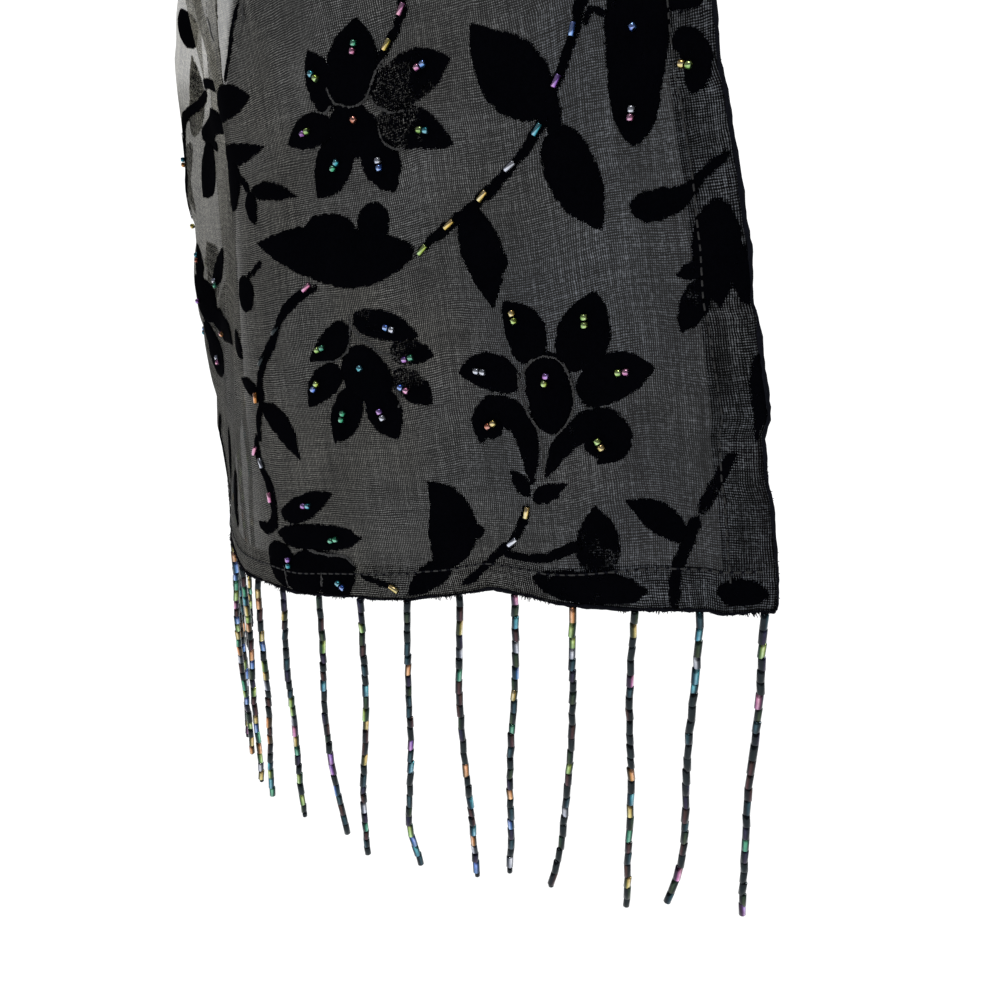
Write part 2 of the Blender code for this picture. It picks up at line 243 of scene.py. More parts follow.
# The repeat of the pattern. Spines run from base to tip, in millimetres across and up. worn: how far the
# pile has rubbed away.
SPRAY = table(
    "kind wide spine worn",
    ("petal", 18.0, ((113.5, 156.5), (110, 168), (106.5, 180))),
    ("petal", 12.6, ((120.5, 156), (122.5, 165), (126, 175))),
    ("petal", 10.8, ((120, 151.5), (130.5, 152), (143, 149.5))),
    ("petal", 14.4, ((117, 147), (122.5, 141), (132, 131.5))),
    ("petal", 12.6, ((108.5, 145), (105, 136.5), (102.5, 128.5))),
    ("petal", 12.2, ((106, 149), (94, 145), (80.5, 138)), 0.85),
    ("petal", 15.0, ((105.5, 156.5), (94.5, 158.5), (77.5, 162)), 1.0),
    ("oval", 15.6, ((120, 156), (113.5, 149.5), (107.5, 142))),
    ("leaf", 18.6, ((51, 141), (60, 154), (70, 170.5))),
    ("petal", 5.4, ((56, 154), (55, 158.5), (55, 162.5))),
    ("petal", 14.2, ((50.5, 136.5), (46.5, 123.5), (40, 105.5))),
    ("leaf", 14.0, ((79.5, 121), (76.5, 106), (75.5, 90.5))),
    ("petal", 5.4, ((75, 109), (71.5, 106), (69.5, 102))),
    ("stem", 3.4, ((29, 187), (34, 176), (38.5, 166), (41.5, 158.5), (47.5, 148), (54.5, 137.5), (63, 130),
     (74, 122.5), (86, 115.5), (99, 108.5))),
    ("stem", 4.6, ((49.5, 146), (49.5, 140.5), (50, 134.5))),
    ("stem", 2.2, ((38.5, 160), (35.5, 163.5), (32, 161)), 0.2),
    ("leaf", 19.0, ((99, 110.5), (110, 111), (126, 112.5), (142.5, 116), (164.5, 122))),
    ("oval", 9.0, ((118, 120.5), (129.5, 122), (141, 122.5))),
    ("oval", 11.4, ((113, 115), (111.5, 121), (109, 127.5))),
    ("petal", 10.4, ((127, 92), (133, 86.5), (145, 80.5))),
    ("petal", 9.4, ((124.5, 93), (114, 90.5), (101.5, 85)), 0.45),
    ("petal", 8.0, ((112.5, 82), (104, 80.5), (97.5, 78)), 0.95),
    ("petal", 9.4, ((113, 75), (106, 70), (100, 63.5)), 0.9),
    ("petal", 13.4, ((120, 71), (117.5, 63), (114, 54.5))),
    ("petal", 11.8, ((127.5, 71), (133, 62.5), (139.5, 53))),
    ("petal", 10.2, ((132, 77), (140.5, 73), (148, 65.5))),
    ("oval", 17.4, ((130.5, 82), (123.5, 76), (114.5, 68)), 0.05),
    ("petal", 13.0, ((66, 74), (66, 83), (72, 93))), ("petal", 16.4, ((51.5, 69), (49, 79), (44, 90)), 0.1),
    ("petal", 12.0, ((70, 68.5), (79, 72), (90.5, 71.5)), 0.1),
    ("oval", 14.6, ((62, 77.5), (61, 65.5), (61.5, 52.5)), 0.1),
    ("petal", 14.0, ((52.5, 62), (43, 65), (29.5, 67)), 0.05),
    ("hook", 9.4, ((70, 38), (69.5, 48), (71.5, 57), (78, 60.5), (83.5, 57.5), (85.5, 49.5)), 0.1),
    ("hook", 9.4, ((65, 40), (59.5, 48.5), (51.5, 53), (44.5, 51.5), (42.5, 46.5), (49, 41.5)), 0.2),
    ("oval", 7.0, ((78, 57.3), (81, 55.3), (84.5, 52.9))),
    ("oval", 6.8, ((51.5, 49.8), (48.3, 47.0), (44.8, 43.8))),
    ("leaf", 5.4, ((71.5, 34), (73.5, 38.5), (77, 42.5))),
    ("leaf", 5.8, ((70.5, 33), (65, 35.5), (58.5, 37.5))),
    ("stem", 3.0, ((72, 32), (75, 25), (79, 19.5), (84.5, 14), (92, 6.5), (98.5, 3)), 0.1),
    ("stem", 3.4, ((84, 15), (74, 14), (65, 16), (56, 20)), 0.1),
    ("drop", 20.4, ((21, 173), (23.5, 153), (28, 126.5)), 0.1),
    ("oval", 8.6, ((12, 154.5), (5.5, 147), (9, 138)), 0.1),
    ("oval", 5.0, ((14, 162), (8, 161), (2.5, 160.5)), 0.1),
    ("paddle", 8.4, ((31.5, 110), (24, 111), (15, 113.5), (9.5, 118), (1.5, 123)), 0.1),
    ("leaf", 13.6, ((6, 112), (8.5, 97), (8.5, 83)), 0.05),
    ("petal", 6.4, ((4, 101), (2.4, 92), (1.2, 83)), 0.1),
    ("petal", 8.0, ((11.5, 91), (16, 84.5), (21, 77)), 0.4),
    ("petal", 4.6, ((0.8, 71), (2, 59), (2, 47)), 0.3),
    ("leaf", 4.8, ((12.5, 96), (16, 93.5), (20.5, 92.5)), 0.1),
    ("stem", 3.6, ((30, 0.8), (28.5, 10.5), (24.5, 18), (20.5, 26.5)), 0.1),
    ("stem", 3.4, ((20.5, 26), (17, 32), (12.5, 38.5), (8, 45)), 0.45),
    ("leaf", 9.6, ((24, 19), (32, 24), (42, 29.5))), ("oval", 7.6, ((17, 6), (9.5, 6), (2.2, 4.5)), 0.1),
    ("leaf", 14.0, ((51.5, 8), (51.5, 18.5), (51, 30)), 0.6),
    ("oval", 10.4, ((74, 6.6), (55.5, 5.9), (37.5, 5.2)), 0.35),
    ("leaf", 17.0, ((106, 11), (99.5, 20), (99.5, 30), (105.5, 40.5))),
    ("petal", 9.4, ((100.5, 13), (108.5, 8), (119, 1.5))),
    ("petal", 5.8, ((96, 22.5), (92, 22), (87.5, 22.5))),
    ("leaf", 9.6, ((174, 67.5), (164, 60.5), (156.5, 47.5))),
    ("leaf", 6.0, ((172, 68.5), (180, 72.5), (190, 76))),
    ("stem", 3.8, ((138, 104), (145, 102), (151, 99), (155.5, 95.5), (160.5, 90), (166, 85), (170.5, 79.5),
     (173, 74), (173.5, 67.5), (177, 61.5), (178.5, 53))),
    ("stem", 4.6, ((180, 56), (181.5, 49), (180, 44.5), (176.5, 38.5), (175.5, 32), (176, 26),
     (181.5, 21.5), (189, 22.5)), 0.1),
    ("petal", 9.2, ((171, 27.5), (158, 31.5), (144, 36))),
    ("oval", 9.8, ((175.5, 21), (154.5, 20.5), (134, 21))),
    ("oval", 16.5, ((177, 18), (176, 9.5), (176, 0.8)), 0.1),
    ("oval", 20.0, ((164.5, 16), (161.5, 8.5), (158, 0.8))),
    ("oval", 15.0, ((169, 12), (167.5, 5), (166.5, 0.6))),
    ("petal", 8.4, ((160, 13.5), (148, 11), (138, 10))),
    ("oval", 19.0, ((152, 10), (147, 4.8), (143, 0.7))), ("oval", 11.0, ((154, 8), (152, 3.5), (151, 0.6))),
    ("stem", 2.2, ((137, 8), (128.5, 5.5), (122.5, 4)), 0.1),
    ("stem", 3.0, ((99, 190), (94, 184), (91.5, 179), (94.5, 173.5), (98.5, 169), (102, 165)), 0.1),
)

# Small strays of the front's outline in mm: right edge and left turn (to the right), and hem (upwards)
RIGHT_STRAYS = table(
    "up right",
    (0, -1.4), (3, -0.5), (8, 0.0), (31, 0.0), (36, -0.9), (50, -0.8), (53, 1.2), (57, 1.0), (70, 0.4),
    (80, 0.3), (84, -0.8), (89, -0.5), (99, 0.2), (104, -0.3), (119, -0.6), (128, -1.2), (138, -1.5),
    (143, -2.4), (148, -2.3), (160, -1.8), (172, -1.6), (184, -1.6), (191, -2.1), (197, -1.6), (215, -1.0),
    (240, 0.0),
)
LEFT_STRAYS = table(
    "up right",
    (30, 0.0), (35, -0.6), (42, 1.2), (48, 1.0), (54, -0.3), (60, -0.9), (67, -1.4), (74, -0.8), (80, -2.4),
    (93, -2.6), (99, -1.8), (105, 0.0), (118, 0.0), (122, -1.2), (128, -2.4), (134, -2.8), (139, -2.0),
    (150, -2.0), (172, -2.4), (185, -2.4), (192, -0.9), (203, -0.2), (210, 1.2), (216, 1.7), (230, 0.0),
)
HEM_STRAYS = table(
    "across rise",
    (5, 0.0), (10, -1.2), (15, -2.0), (20, -1.4), (28, -3.0), (34, -3.6), (39, -3.8), (45, -3.2),
    (50, -1.8), (54, -0.9), (59, 0.0), (64, 0.9), (69, 1.3), (74, 2.5), (79, 2.9), (84, 3.6), (89, 3.7),
    (94, 2.8), (100, 2.5), (112, 2.4), (118, 1.2), (124, 0.8), (134, 0.0),
)

# Bare lines that part the petals
BARE_LINES = table(
    "kind wide spine",
    ("stem", 0.5, ((120, 163), (119, 159), (114.5, 156.5), (109.5, 156), (106, 158.5), (104, 162),
     (100.5, 165.5), (98, 167))),
    ("stem", 0.5, ((107, 158.5), (103.5, 153.5), (98.5, 150.5), (95, 150))),
    ("stem", 0.5, ((104.5, 148.5), (104, 144.5), (101, 141), (97.5, 139.5))),
    ("stem", 0.5, ((119.5, 157.5), (122.5, 156), (126.5, 157))),
    ("stem", 0.5, ((125.5, 95), (126, 89), (128.5, 83), (134.5, 80), (143, 80))),
    ("stem", 0.5, ((125.5, 90), (120.5, 86), (115.5, 82), (110, 80), (109, 78))),
    ("stem", 0.5, ((112, 71), (111, 66.5), (112, 64.5))),
    ("stem", 0.9, ((160.5, 16.2), (155, 15.2), (149.5, 14.4), (142, 14), (138.5, 11))),
    ("stem", 0.5, ((174, 9.5), (174, 5.5), (173.5, 1.5))),
    ("stem", 1.0, ((155, 8.5), (155.5, 6), (155.5, 3))),
    ("stem", 0.5, ((70, 74.5), (70, 68.5), (69, 61.5), (65.5, 54), (65, 45.5), (65.5, 39.5))),
    ("stem", 0.5, ((70, 69.5), (66, 74.5), (61.5, 76), (57, 74), (54, 67.5), (53.5, 62.5), (56, 55.5),
     (60.5, 52.5))),
)

# What the rounded left side shows beside the repeat
LEFT_SIDE = table(
    "kind wide spine worn",
    ("leaf", 7.6, ((188, 154.5), (169.5, 152.5), (153.5, 151.5))),
    ("oval", 15.0, ((177, 153), (180, 144), (184, 134))),
    ("leaf", 6.4, ((165.5, 139.5), (153.5, 137), (141.5, 133))),
    ("leaf", 7.6, ((166, 140), (166, 135), (163.5, 127.5))),
    ("stem", 3.0, ((184, 158), (174, 147), (165, 138.5))),
    ("petal", 11.5, ((188, 168), (175, 170.5), (158.5, 168.5))),
    ("stem", 2.0, ((157, 198), (162.5, 191), (166.5, 184), (173, 176))),
    ("oval", 12.0, ((175.5, 112), (176, 105.5), (177.5, 99))),
    ("stem", 2.2, ((174, 110.5), (168.5, 113), (162.5, 115.5)), 0.35),
    ("petal", 9.0, ((197, 91), (190, 87.5), (184, 82.5))),
    ("oval", 22.0, ((285, 211), (285, 204), (285, 197.5))),
    ("petal", 11.5, ((270, 166), (246, 168), (216, 168))),
    ("stem", 4.6, ((291, 150), (288, 165), (268, 179), (244, 182.5), (216, 182))),
    ("stem", 8.0, ((294, 157), (294.5, 146), (294.5, 136), (294, 127), (292, 121))),
    ("petal", 18.0, ((258, 164), (262, 154), (273, 139.5))),
    ("stem", 4.0, ((262, 168), (252, 162), (238, 158))),
    ("petal", 12.0, ((293, 109.5), (288, 105), (282, 98))),
    ("petal", 11.0, ((246, 117), (260, 111.5), (272, 102))),
    ("oval", 28.0, ((281, 102), (279.5, 94), (279, 84))),
    ("petal", 11.0, ((274, 91), (252, 87), (224, 83.5))),
    ("petal", 18.0, ((281, 83), (275, 75.5), (256, 68))), ("stem", 4.0, ((281, 43), (277, 30), (268, 17))),
    ("petal", 9.0, ((219, 37), (223, 25), (219, 13.5))), ("leaf", 9.0, ((248, 46), (240, 36), (236, 24))),
    ("leaf", 15.0, ((318, 150), (326, 166), (322, 186))),
    ("leaf", 14.0, ((316, 146), (304, 132), (308, 114))),
    ("petal", 15.0, ((326, 74), (330, 88), (324, 102))), ("petal", 14.0, ((320, 72), (308, 66), (300, 54))),
    ("petal", 13.0, ((332, 70), (342, 62), (344, 50))), ("petal", 13.0, ((326, 66), (324, 54), (330, 42))),
    ("stem", 3.4, ((326, 42), (322, 28), (310, 14), (296, 3))),
    ("leaf", 12.0, ((320, 24), (334, 20), (344, 8))), ("leaf", 12.0, ((262, 8), (250, 14), (240, 24))),
)

# Where the repeat is laid: its shift across and up, in millimetres. clear: the part of the repeat, by its
# ends across and up, that is left out there.
REPEAT_HEIGHT = 188
LAYS = table(
    "across up clear",
    *((0, REPEAT_HEIGHT * k, (103, 192, 0, 42) if k == 1 else ()) for k in range(8)),
    *((180, 222 + REPEAT_HEIGHT * k, ()) for k in range(7)),
)

# Round beads on the petals of the repeat, sewn on singly or in pairs. turn: degrees of the pair's line.
PETAL_BEADS = table(
    "across up turn colours",
    (108.5, 172, -70, ("green", "pink")), (124, 167, -135, ("teal", "lime")),
    (88, 161, 165, ("pink", "blue")), (132, 151.5, 165, ("violet", "lime")), (112, 152, 60, ("copper",)),
    (90, 143, -170, ("lime", "teal")), (121.5, 140, -50, ("teal", "green")),
    (106, 137.5, -90, ("silver", "blue")), (139.5, 84, 170, ("lime", "green")),
    (111, 89, -150, ("blue", "silver")), (106, 79, 170, ("violet", "green")),
    (143.5, 72, -50, ("lime", "blue")), (124, 77.5, 60, ("teal",)), (134, 62, -70, ("green", "green")),
    (118.5, 62.5, -110, ("violet", "silver")), (109, 70, -140, ("blue", "pink")),
    (69, 88, -105, ("gold", "lime")), (48, 82.5, -90, ("lime", "lime")),
    (82.5, 72, 180, ("silver", "silver")), (61.5, 69, -70, ("violet", "lime")),
    (39, 66, 180, ("lime", "pink")), (81, 56, 155, ("copper", "gold")), (47.5, 47, -110, ("lime", "gold")),
    (24, 157, 60, ("blue",)), (27.5, 135, -70, ("silver", "pink")), (9, 145.5, -160, ("gold", "lime")),
    (156.5, 32, 180, ("violet", "teal")), (146, 20, 170, ("green", "green")),
    (170.5, 11, -90, ("violet", "teal")), (146, 4, -140, ("teal", "blue")),
)
LEFT_BEADS = table(
    "across up turn colours",
    (292, 146, 90, ("orange", "teal")), (291, 119, 80, ("gold",)), (289, 106, 80, ("copper", "teal")),
    (266, 104, 50, ("green", "silver")), (284, 90, 80, ("violet",)), (250, 84, 0, ("orange", "pink")),
    (268, 71, 60, ("pink", "silver")), (326, 92, 75, ("lime", "gold")), (306, 63, 30, ("teal", "blue")),
    (341, 62, 120, ("pink", "silver")),
)

# Long beads along the stems of the repeat
STEM_BEADS = table(
    "across up turn colours",
    (92, 177.5, 126, ("pink",)), (98, 169.5, 133, ("gold",)), (41.5, 159.5, -66, ("blue",)),
    (47.5, 148, -50, ("violet",)), (54.5, 137.5, -48, ("teal",)), (63.5, 130, -30, ("silver",)),
    (73.5, 123, -38, ("gold",)), (86, 115.5, -31, ("gold",)), (96, 109.5, -30, ("lime",)),
    (142, 104, -27, ("pink",)), (158.5, 92, -31, ("dark",)), (169, 82.5, -52, ("dark",)),
    (175.5, 69.5, -77, ("orange",)), (182, 50, -54, ("pink",)), (178.5, 46, -118, ("silver",)),
    (176, 34, -84, ("pink",)), (72.5, 29.5, -68, ("gold",)), (78.5, 19.5, -43, ("silver",)),
    (123.5, 4, -149, ("gold",)), (35, 174, -60, ("lime",)),
)

# Coatings of the glass beads: the colour that faces out, and the one it shades into
COATINGS = {
    "dark": ((0.010, 0.015, 0.018), (0.006, 0.018, 0.020)),
    "night": ((0.012, 0.014, 0.050), (0.030, 0.010, 0.040)),
    "moss": ((0.016, 0.050, 0.026), (0.040, 0.045, 0.010)),
    "umber": ((0.055, 0.022, 0.014), (0.060, 0.012, 0.030)),
    "petrol": ((0.010, 0.065, 0.085), (0.006, 0.030, 0.060)),
    "gold": ((0.90, 0.56, 0.08), (0.45, 0.50, 0.08)),
    "orange": ((0.90, 0.30, 0.05), (0.75, 0.42, 0.08)),
    "copper": ((0.70, 0.17, 0.05), (0.28, 0.04, 0.05)),
    "lime": ((0.52, 0.66, 0.07), (0.12, 0.50, 0.15)),
    "green": ((0.04, 0.46, 0.22), (0.02, 0.24, 0.20)),
    "teal": ((0.03, 0.44, 0.52), (0.02, 0.18, 0.38)),
    "blue": ((0.06, 0.18, 0.80), (0.04, 0.34, 0.64)),
    "violet": ((0.30, 0.12, 0.70), (0.52, 0.12, 0.44)),
    "pink": ((0.76, 0.22, 0.40), (0.48, 0.14, 0.52)),
    "silver": ((0.62, 0.64, 0.70), (0.36, 0.42, 0.62)),
}
FRINGE_MIX = table(
    "colour front left",
    ("dark", 26, 10), ("night", 13, 4), ("moss", 11, 8), ("umber", 12, 14), ("petrol", 11, 6),
    ("gold", 5, 22), ("orange", 3, 9), ("lime", 3, 14), ("teal", 4, 8), ("blue", 3, 5), ("violet", 3, 2),
    ("pink", 3, 3), ("silver", 3, 6), ("green", 3, 5),
)

# Tufts along the four edges. across, up: where the edge lies, the other being drawn along it
TUFTS = table(
    "count across up",
    (1700, None, 0.0003), (600, None, LENGTH - 0.0003), (700, 0.0002), (500, WIDTH - 0.0002),
)

# Front strands that differ from a plumb one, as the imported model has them
OWN_STRANDS = table(
    "strand length lean hook",
    (0, 0.096, 0.001, -0.001), (1, 0.098, -0.001, -0.004), (2, 0.101, 0.001, 0.001),
    (3, 0.099, -0.001, -0.004), (4, 0.100, -0.001, -0.001), (5, 0.104, 0.004, 0.001),
    (6, 0.100, -0.003, 0.006), (7, 0.099, -0.002, 0.001), (8, 0.095, 0.004, 0.001),
    (9, 0.093, 0.001, 0.002), (10, 0.092, 0.000, 0.000), (11, 0.094, 0.003, -0.002),
)
PLUMB_STRAND = dict(length=STRAND_LENGTH, lean=0.0, hook=0.0)


def length(name, description, default, least, most):
    """A length that a user may change."""
    return bpy.props.FloatProperty(name=name, description=description, default=default, min=least, max=most,
                                   unit="LENGTH", subtype="DISTANCE", precision=5)


def paint(name, description, default):
    """A colour that a user may change."""
    return bpy.props.FloatVectorProperty(name=name, description=description, default=default, min=0.0,
                                         max=1.0, size=3, subtype="COLOR")


class ShawlSizes(bpy.types.PropertyGroup):
    """Sizes of what is sewn on the cloth."""
    pile: length("Pile height", "How far the velvet stands off the sheer ground", 0.00035, 0.0001, 0.002)
    round_bead: length("Round bead", "Diameter of a bead on a petal", 0.0021, 0.001, 0.006)
    stem_bead: length("Stem bead length", "Length of a bead on a stem", 0.0037, 0.002, 0.012)
    stem_bead_width: length("Stem bead width", "Diameter of a bead on a stem", 0.0017, 0.001, 0.005)
    long_bead: length("Fringe bead length", "Mean length of a bead in the fringe", 0.0042, 0.002, 0.012)
    long_bead_width: length("Fringe bead width", "Diameter of a bead in the fringe", 0.00235, 0.001, 0.005)
    stitch: length("Stitch", "Length of one hem stitch that shows", 0.0019, 0.0005, 0.006)
    stitch_gap: length("Stitch gap", "Distance from one hem stitch to the next", 0.0012, 0.0003, 0.006)


class ShawlColours(bpy.types.PropertyGroup):
    """Colours of the cloth and its sewing."""
    ground: paint("Sheer ground", "Colour of the fine open cloth between the flowers", (0.039, 0.039, 0.039))
    velvet: paint("Velvet", "Colour of the pile", (0.0010, 0.0011, 0.0017))
    thread: paint("Thread", "Colour of the sewing thread", (0.030, 0.030, 0.030))


def column(rows, name):
    """One column of a table, as an array."""
    return np.array([row[name] for row in rows], float)


def through(xs, ys, x):
    """Reads a smooth curve through a few points, held level past its ends."""
    xs = np.asarray(xs, float)
    ys = np.asarray(ys, float)
    slopes = np.gradient(ys, xs, axis=0)
    x = np.clip(x, xs[0], xs[-1])
    i = np.clip(np.searchsorted(xs, x, side="right") - 1, 0, len(xs) - 2)
    span = xs[i + 1] - xs[i]
    t = (x - xs[i]) / span
    if ys.ndim > 1 and np.ndim(t):
        t = t[:, None]
        span = span[:, None]
    return ((2 * t**3 - 3 * t**2 + 1) * ys[i] + (t**3 - 2 * t**2 + t) * span * slopes[i]
            + (3 * t**2 - 2 * t**3) * ys[i + 1] + (t**3 - t**2) * span * slopes[i + 1])


def smooth(low, high, x):
    """Rises softly from 0 at low to 1 at high."""
    t = np.clip((x - low) / (high - low), 0, 1)
    return t * t * (3 - 2 * t)


def fold_wave(across, strength):
    """Headings that the vertical folds add: one full wave for each fold."""
    ends = WIDTH * np.cumsum([0.0] + [fold["share"] for fold in FOLDS])
    i = np.clip(np.searchsorted(ends, across, side="right") - 1, 0, len(FOLDS) - 1)
    turn = 2 * math.pi * (across - ends[i]) / (ends[i + 1] - ends[i])
    depth, lean, fading = (column(FOLDS, key)[i] for key in ("depth", "lean", "fading"))
    faded = strength * (strength / FRONT_SECTIONS[0]["fold"]) ** fading
    return faded * depth * np.sin(turn + lean * np.sin(turn))


def plan(sections, side, down, across):
    """Plan curve of the cloth at one distance down: the headings summed up across it."""
    fold, edge, base = (through(column(sections, "down"), column(sections, key), down)
                        for key in ("fold", "edge", "heading"))
    fine = np.linspace(0, WIDTH, FINE)
    heading = np.radians(through(STATIONS, base, fine)) + side * fold_wave(fine, fold)
    middle = (heading[1:] + heading[:-1]) / 2
    stride = fine[1] - fine[0]
    x = edge[0] - np.concatenate([[0], np.cumsum(np.cos(middle) * stride)])
    y = edge[1] + np.concatenate([[0], np.cumsum(np.sin(middle) * stride)])
    return np.interp(across, fine, x), np.interp(across, fine, y)


def crown_profile(across):
    """Places across the bend, and how far each stands out from its mean radius."""
    x, y = plan(FRONT_SECTIONS, 1, 0.0, across)
    return x, -y - BEND_RADIUS


def seam_height():
    """Height of the bend's seams."""
    out = crown_profile(np.linspace(0, WIDTH, FINE))[1]
    return WALL / 2 + CROWN_CLEARANCE - (BEND_RADIUS + out.min() * (1 - CROWN_FLATTENING))


def fall(sections, side, across, length):
    """Surface of a hanging stretch. Rows go down, and every column keeps its own length."""
    reach = sections[-1]["down"]
    steps = int(reach / STEP)
    stride = length / steps
    rows = [np.stack([*plan(sections, side, 0.0, across), np.full(len(across), seam_height())], 1)]
    for k in range(1, steps + 1):
        x, y = plan(sections, side, reach * k / steps, across)
        last = rows[-1]
        drop = np.sqrt(stride**2 - (x - last[:, 0])**2 - (y - last[:, 1])**2)
        rows.append(np.stack([x, y, last[:, 2] - drop], 1))
    return np.array(rows)


def front_length(across):
    """Length of the front fall's columns: its left side falls lower, and its right corner is lifted."""
    t = np.minimum(across / SKEW_WIDTH, 1.0) ** SKEW_LAG
    lift = CORNER_LIFT * np.exp(-across / SIDE_HEM)
    return FRONT_LENGTH - lift + FRONT_SKEW * (3 * t**2 - 2 * t**3)


def back_length(across):
    """Length of the back fall's columns: what the rest of the cut leaves."""
    return LENGTH - BEND_LENGTH - front_length(across)


def bend(across, rows):
    """Surface over what holds the shawl, from the front seam to the back seam."""
    x, out = crown_profile(across)
    surface = []
    for k in range(rows):
        angle = math.pi * (k / (rows - 1) - 0.5)
        radius = BEND_RADIUS + out * (1 - CROWN_FLATTENING * math.cos(angle))
        surface.append(np.stack([x, radius * math.sin(angle), seam_height() + radius * math.cos(angle)], 1))
    return np.array(surface)


def normals(surface):
    """Unit normals of a grid of points, on the side of the cloth that faces out."""
    along = np.gradient(surface, axis=0)
    over = np.gradient(surface, axis=1)
    cross = np.cross(along, over)
    return cross / np.linalg.norm(cross, axis=2, keepdims=True)


def drifting(across, up):
    """How far the front's right edge, left turn and hem stray from the plain section, in x and z."""
    right, left = (np.interp(up / MM, column(rows, "up"), column(rows, "right"))
                   for rows in (RIGHT_STRAYS, LEFT_STRAYS))
    rise = np.interp(across / MM, column(HEM_STRAYS, "across"), column(HEM_STRAYS, "rise"))
    right = right * (1 - smooth(0.0, 0.030, across))
    left = left * np.exp(-((across - 0.290) / 0.026)**2)
    rise = rise * (1 - smooth(0.0, 0.024, up))
    return (right + left) * MM, rise * MM


def creasing(across, up):
    """How far the creases move the cloth outwards, at places in metres."""
    moved = np.zeros(np.broadcast(across, up).shape)
    for row in CREASES:
        turn = math.radians(row["turn"])
        s = across / MM - row["across"]
        u = up / MM - row["up"]
        along = s * math.cos(turn) + u * math.sin(turn)
        aside = u * math.cos(turn) - s * math.sin(turn) + 0.0012 * along**2
        fade = np.clip(1 - (2 * along / row["long"])**2, 0, 1)**2
        moved += row["deep"] * MM * fade * np.exp(-(aside / row["wide"])**2)
    return moved


class Stretch:
    """One finely stepped stretch of the cloth, read at any place on it."""

    def __init__(self, surface, start, length):
        self.across = np.linspace(0, WIDTH, surface.shape[1])
        self.start = np.broadcast_to(start, self.across.shape)
        self.length = length
        ups = self.start + np.linspace(0, 1, len(surface))[:, None] * length
        surface = surface + normals(surface) * creasing(self.across, ups)[:, :, None]
        aside, rise = drifting(self.across, ups)
        self.points = surface + np.stack([aside, np.zeros(aside.shape), rise], 2)
        self.out = normals(self.points)

    def read(self, across, share):
        """Points and outward normals. share: 0 at the first row and 1 at the last."""
        j = np.clip(across / WIDTH, 0, 1) * (self.points.shape[1] - 1)
        i = np.clip(share, 0, 1) * (self.points.shape[0] - 1)
        j0 = np.minimum(j.astype(int), self.points.shape[1] - 2)
        i0 = np.minimum(i.astype(int), self.points.shape[0] - 2)
        tj = (j - j0)[..., None]
        ti = (i - i0)[..., None]
        read = []
        for grid in (self.points, self.out):
            top = grid[i0, j0] * (1 - tj) + grid[i0, j0 + 1] * tj
            low = grid[i0 + 1, j0] * (1 - tj) + grid[i0 + 1, j0 + 1] * tj
            read.append(top * (1 - ti) + low * ti)
        return read[0], read[1] / np.linalg.norm(read[1], axis=-1, keepdims=True)

    def up(self, across, share):
        """Distances up the cloth from the front hem."""
        start, reach = (np.interp(across, self.across, known) for known in (self.start, self.length))
        return start + share * reach


def sample_rows(surface, count):
    """Reads a stepped surface at evenly spaced rows."""
    at = np.linspace(0, 1, count) * (len(surface) - 1)
    low = np.minimum(at.astype(int), len(surface) - 2)
    t = (at - low)[:, None, None]
    return surface[low] * (1 - t) + surface[low + 1] * t


class Cloth:
    """The whole shawl as one surface, from the front hem, over the bend, to the back hem."""

    def __init__(self):
        across = np.linspace(0, WIDTH, COLUMNS)
        fronts = front_length(across)
        backs = back_length(across)
        front = sample_rows(fall(FRONT_SECTIONS, 1, across, fronts), FRONT_ROWS)[::-1]
        back = sample_rows(fall(BACK_SECTIONS, -1, across, backs), BACK_ROWS)
        self.stretches = {
            "front": Stretch(front, 0.0, fronts),
            "bend": Stretch(bend(across, BEND_ROWS), fronts, np.full(COLUMNS, BEND_LENGTH)),
            "back": Stretch(back, fronts + BEND_LENGTH, backs),
        }

    def at(self, across, up, lift=0.0):
        """Points a little above the cloth at places in metres, and the outward normals there."""
        across, up, lift = np.broadcast_arrays(*(np.asarray(value, float) for value in (across, up, lift)))
        start = front_length(across)
        end = start + BEND_LENGTH
        points, out = self.stretches["front"].read(across, up / start)
        for name, chosen, share in (
                ("bend", up > start, (up - start) / BEND_LENGTH),
                ("back", up > end, (up - end) / back_length(across))):
            p, n = self.stretches[name].read(across, share)
            points = np.where(chosen[..., None], p, points)
            out = np.where(chosen[..., None], n, out)
        return points + out * lift[..., None], out


@functools.cache
def cloth():
    """The shawl's surface, worked out once."""
    return Cloth()


class Value:
    """A shader socket that takes part in sums, so that a pattern reads as an expression."""

    def __init__(self, tree, socket):
        self.tree = tree
        self.socket = socket

    def maths(self, operation, first, second=None):
        node = self.tree.nodes.new("ShaderNodeMath")
        node.operation = operation
        for place, value in enumerate((first, second)):
            if isinstance(value, Value):
                self.tree.links.new(value.socket, node.inputs[place])
            elif value is not None:
                node.inputs[place].default_value = value
        return Value(self.tree, node.outputs[0])

    def __add__(self, other):
        return self.maths("ADD", self, other)

    def __sub__(self, other):
        return self.maths("SUBTRACT", self, other)

    def __rsub__(self, other):
        return self.maths("SUBTRACT", other, self)

    def __mul__(self, other):
        return self.maths("MULTIPLY", self, other)

    def __pow__(self, other):
        return self.maths("POWER", self, other)

    __radd__ = __add__
    __rmul__ = __mul__

    def sine(self):
        return self.maths("SINE", self)

    def above(self, least):
        return self.maths("MAXIMUM", self, least)

    def step(self, low, high):
        """Rises softly from 0 at low to 1 at high."""
        node = self.tree.nodes.new("ShaderNodeMapRange")
        node.interpolation_type = "SMOOTHSTEP"
        self.tree.links.new(self.socket, node.inputs["Value"])
        node.inputs["From Min"].default_value = low
        node.inputs["From Max"].default_value = high
        return Value(self.tree, node.outputs["Result"])


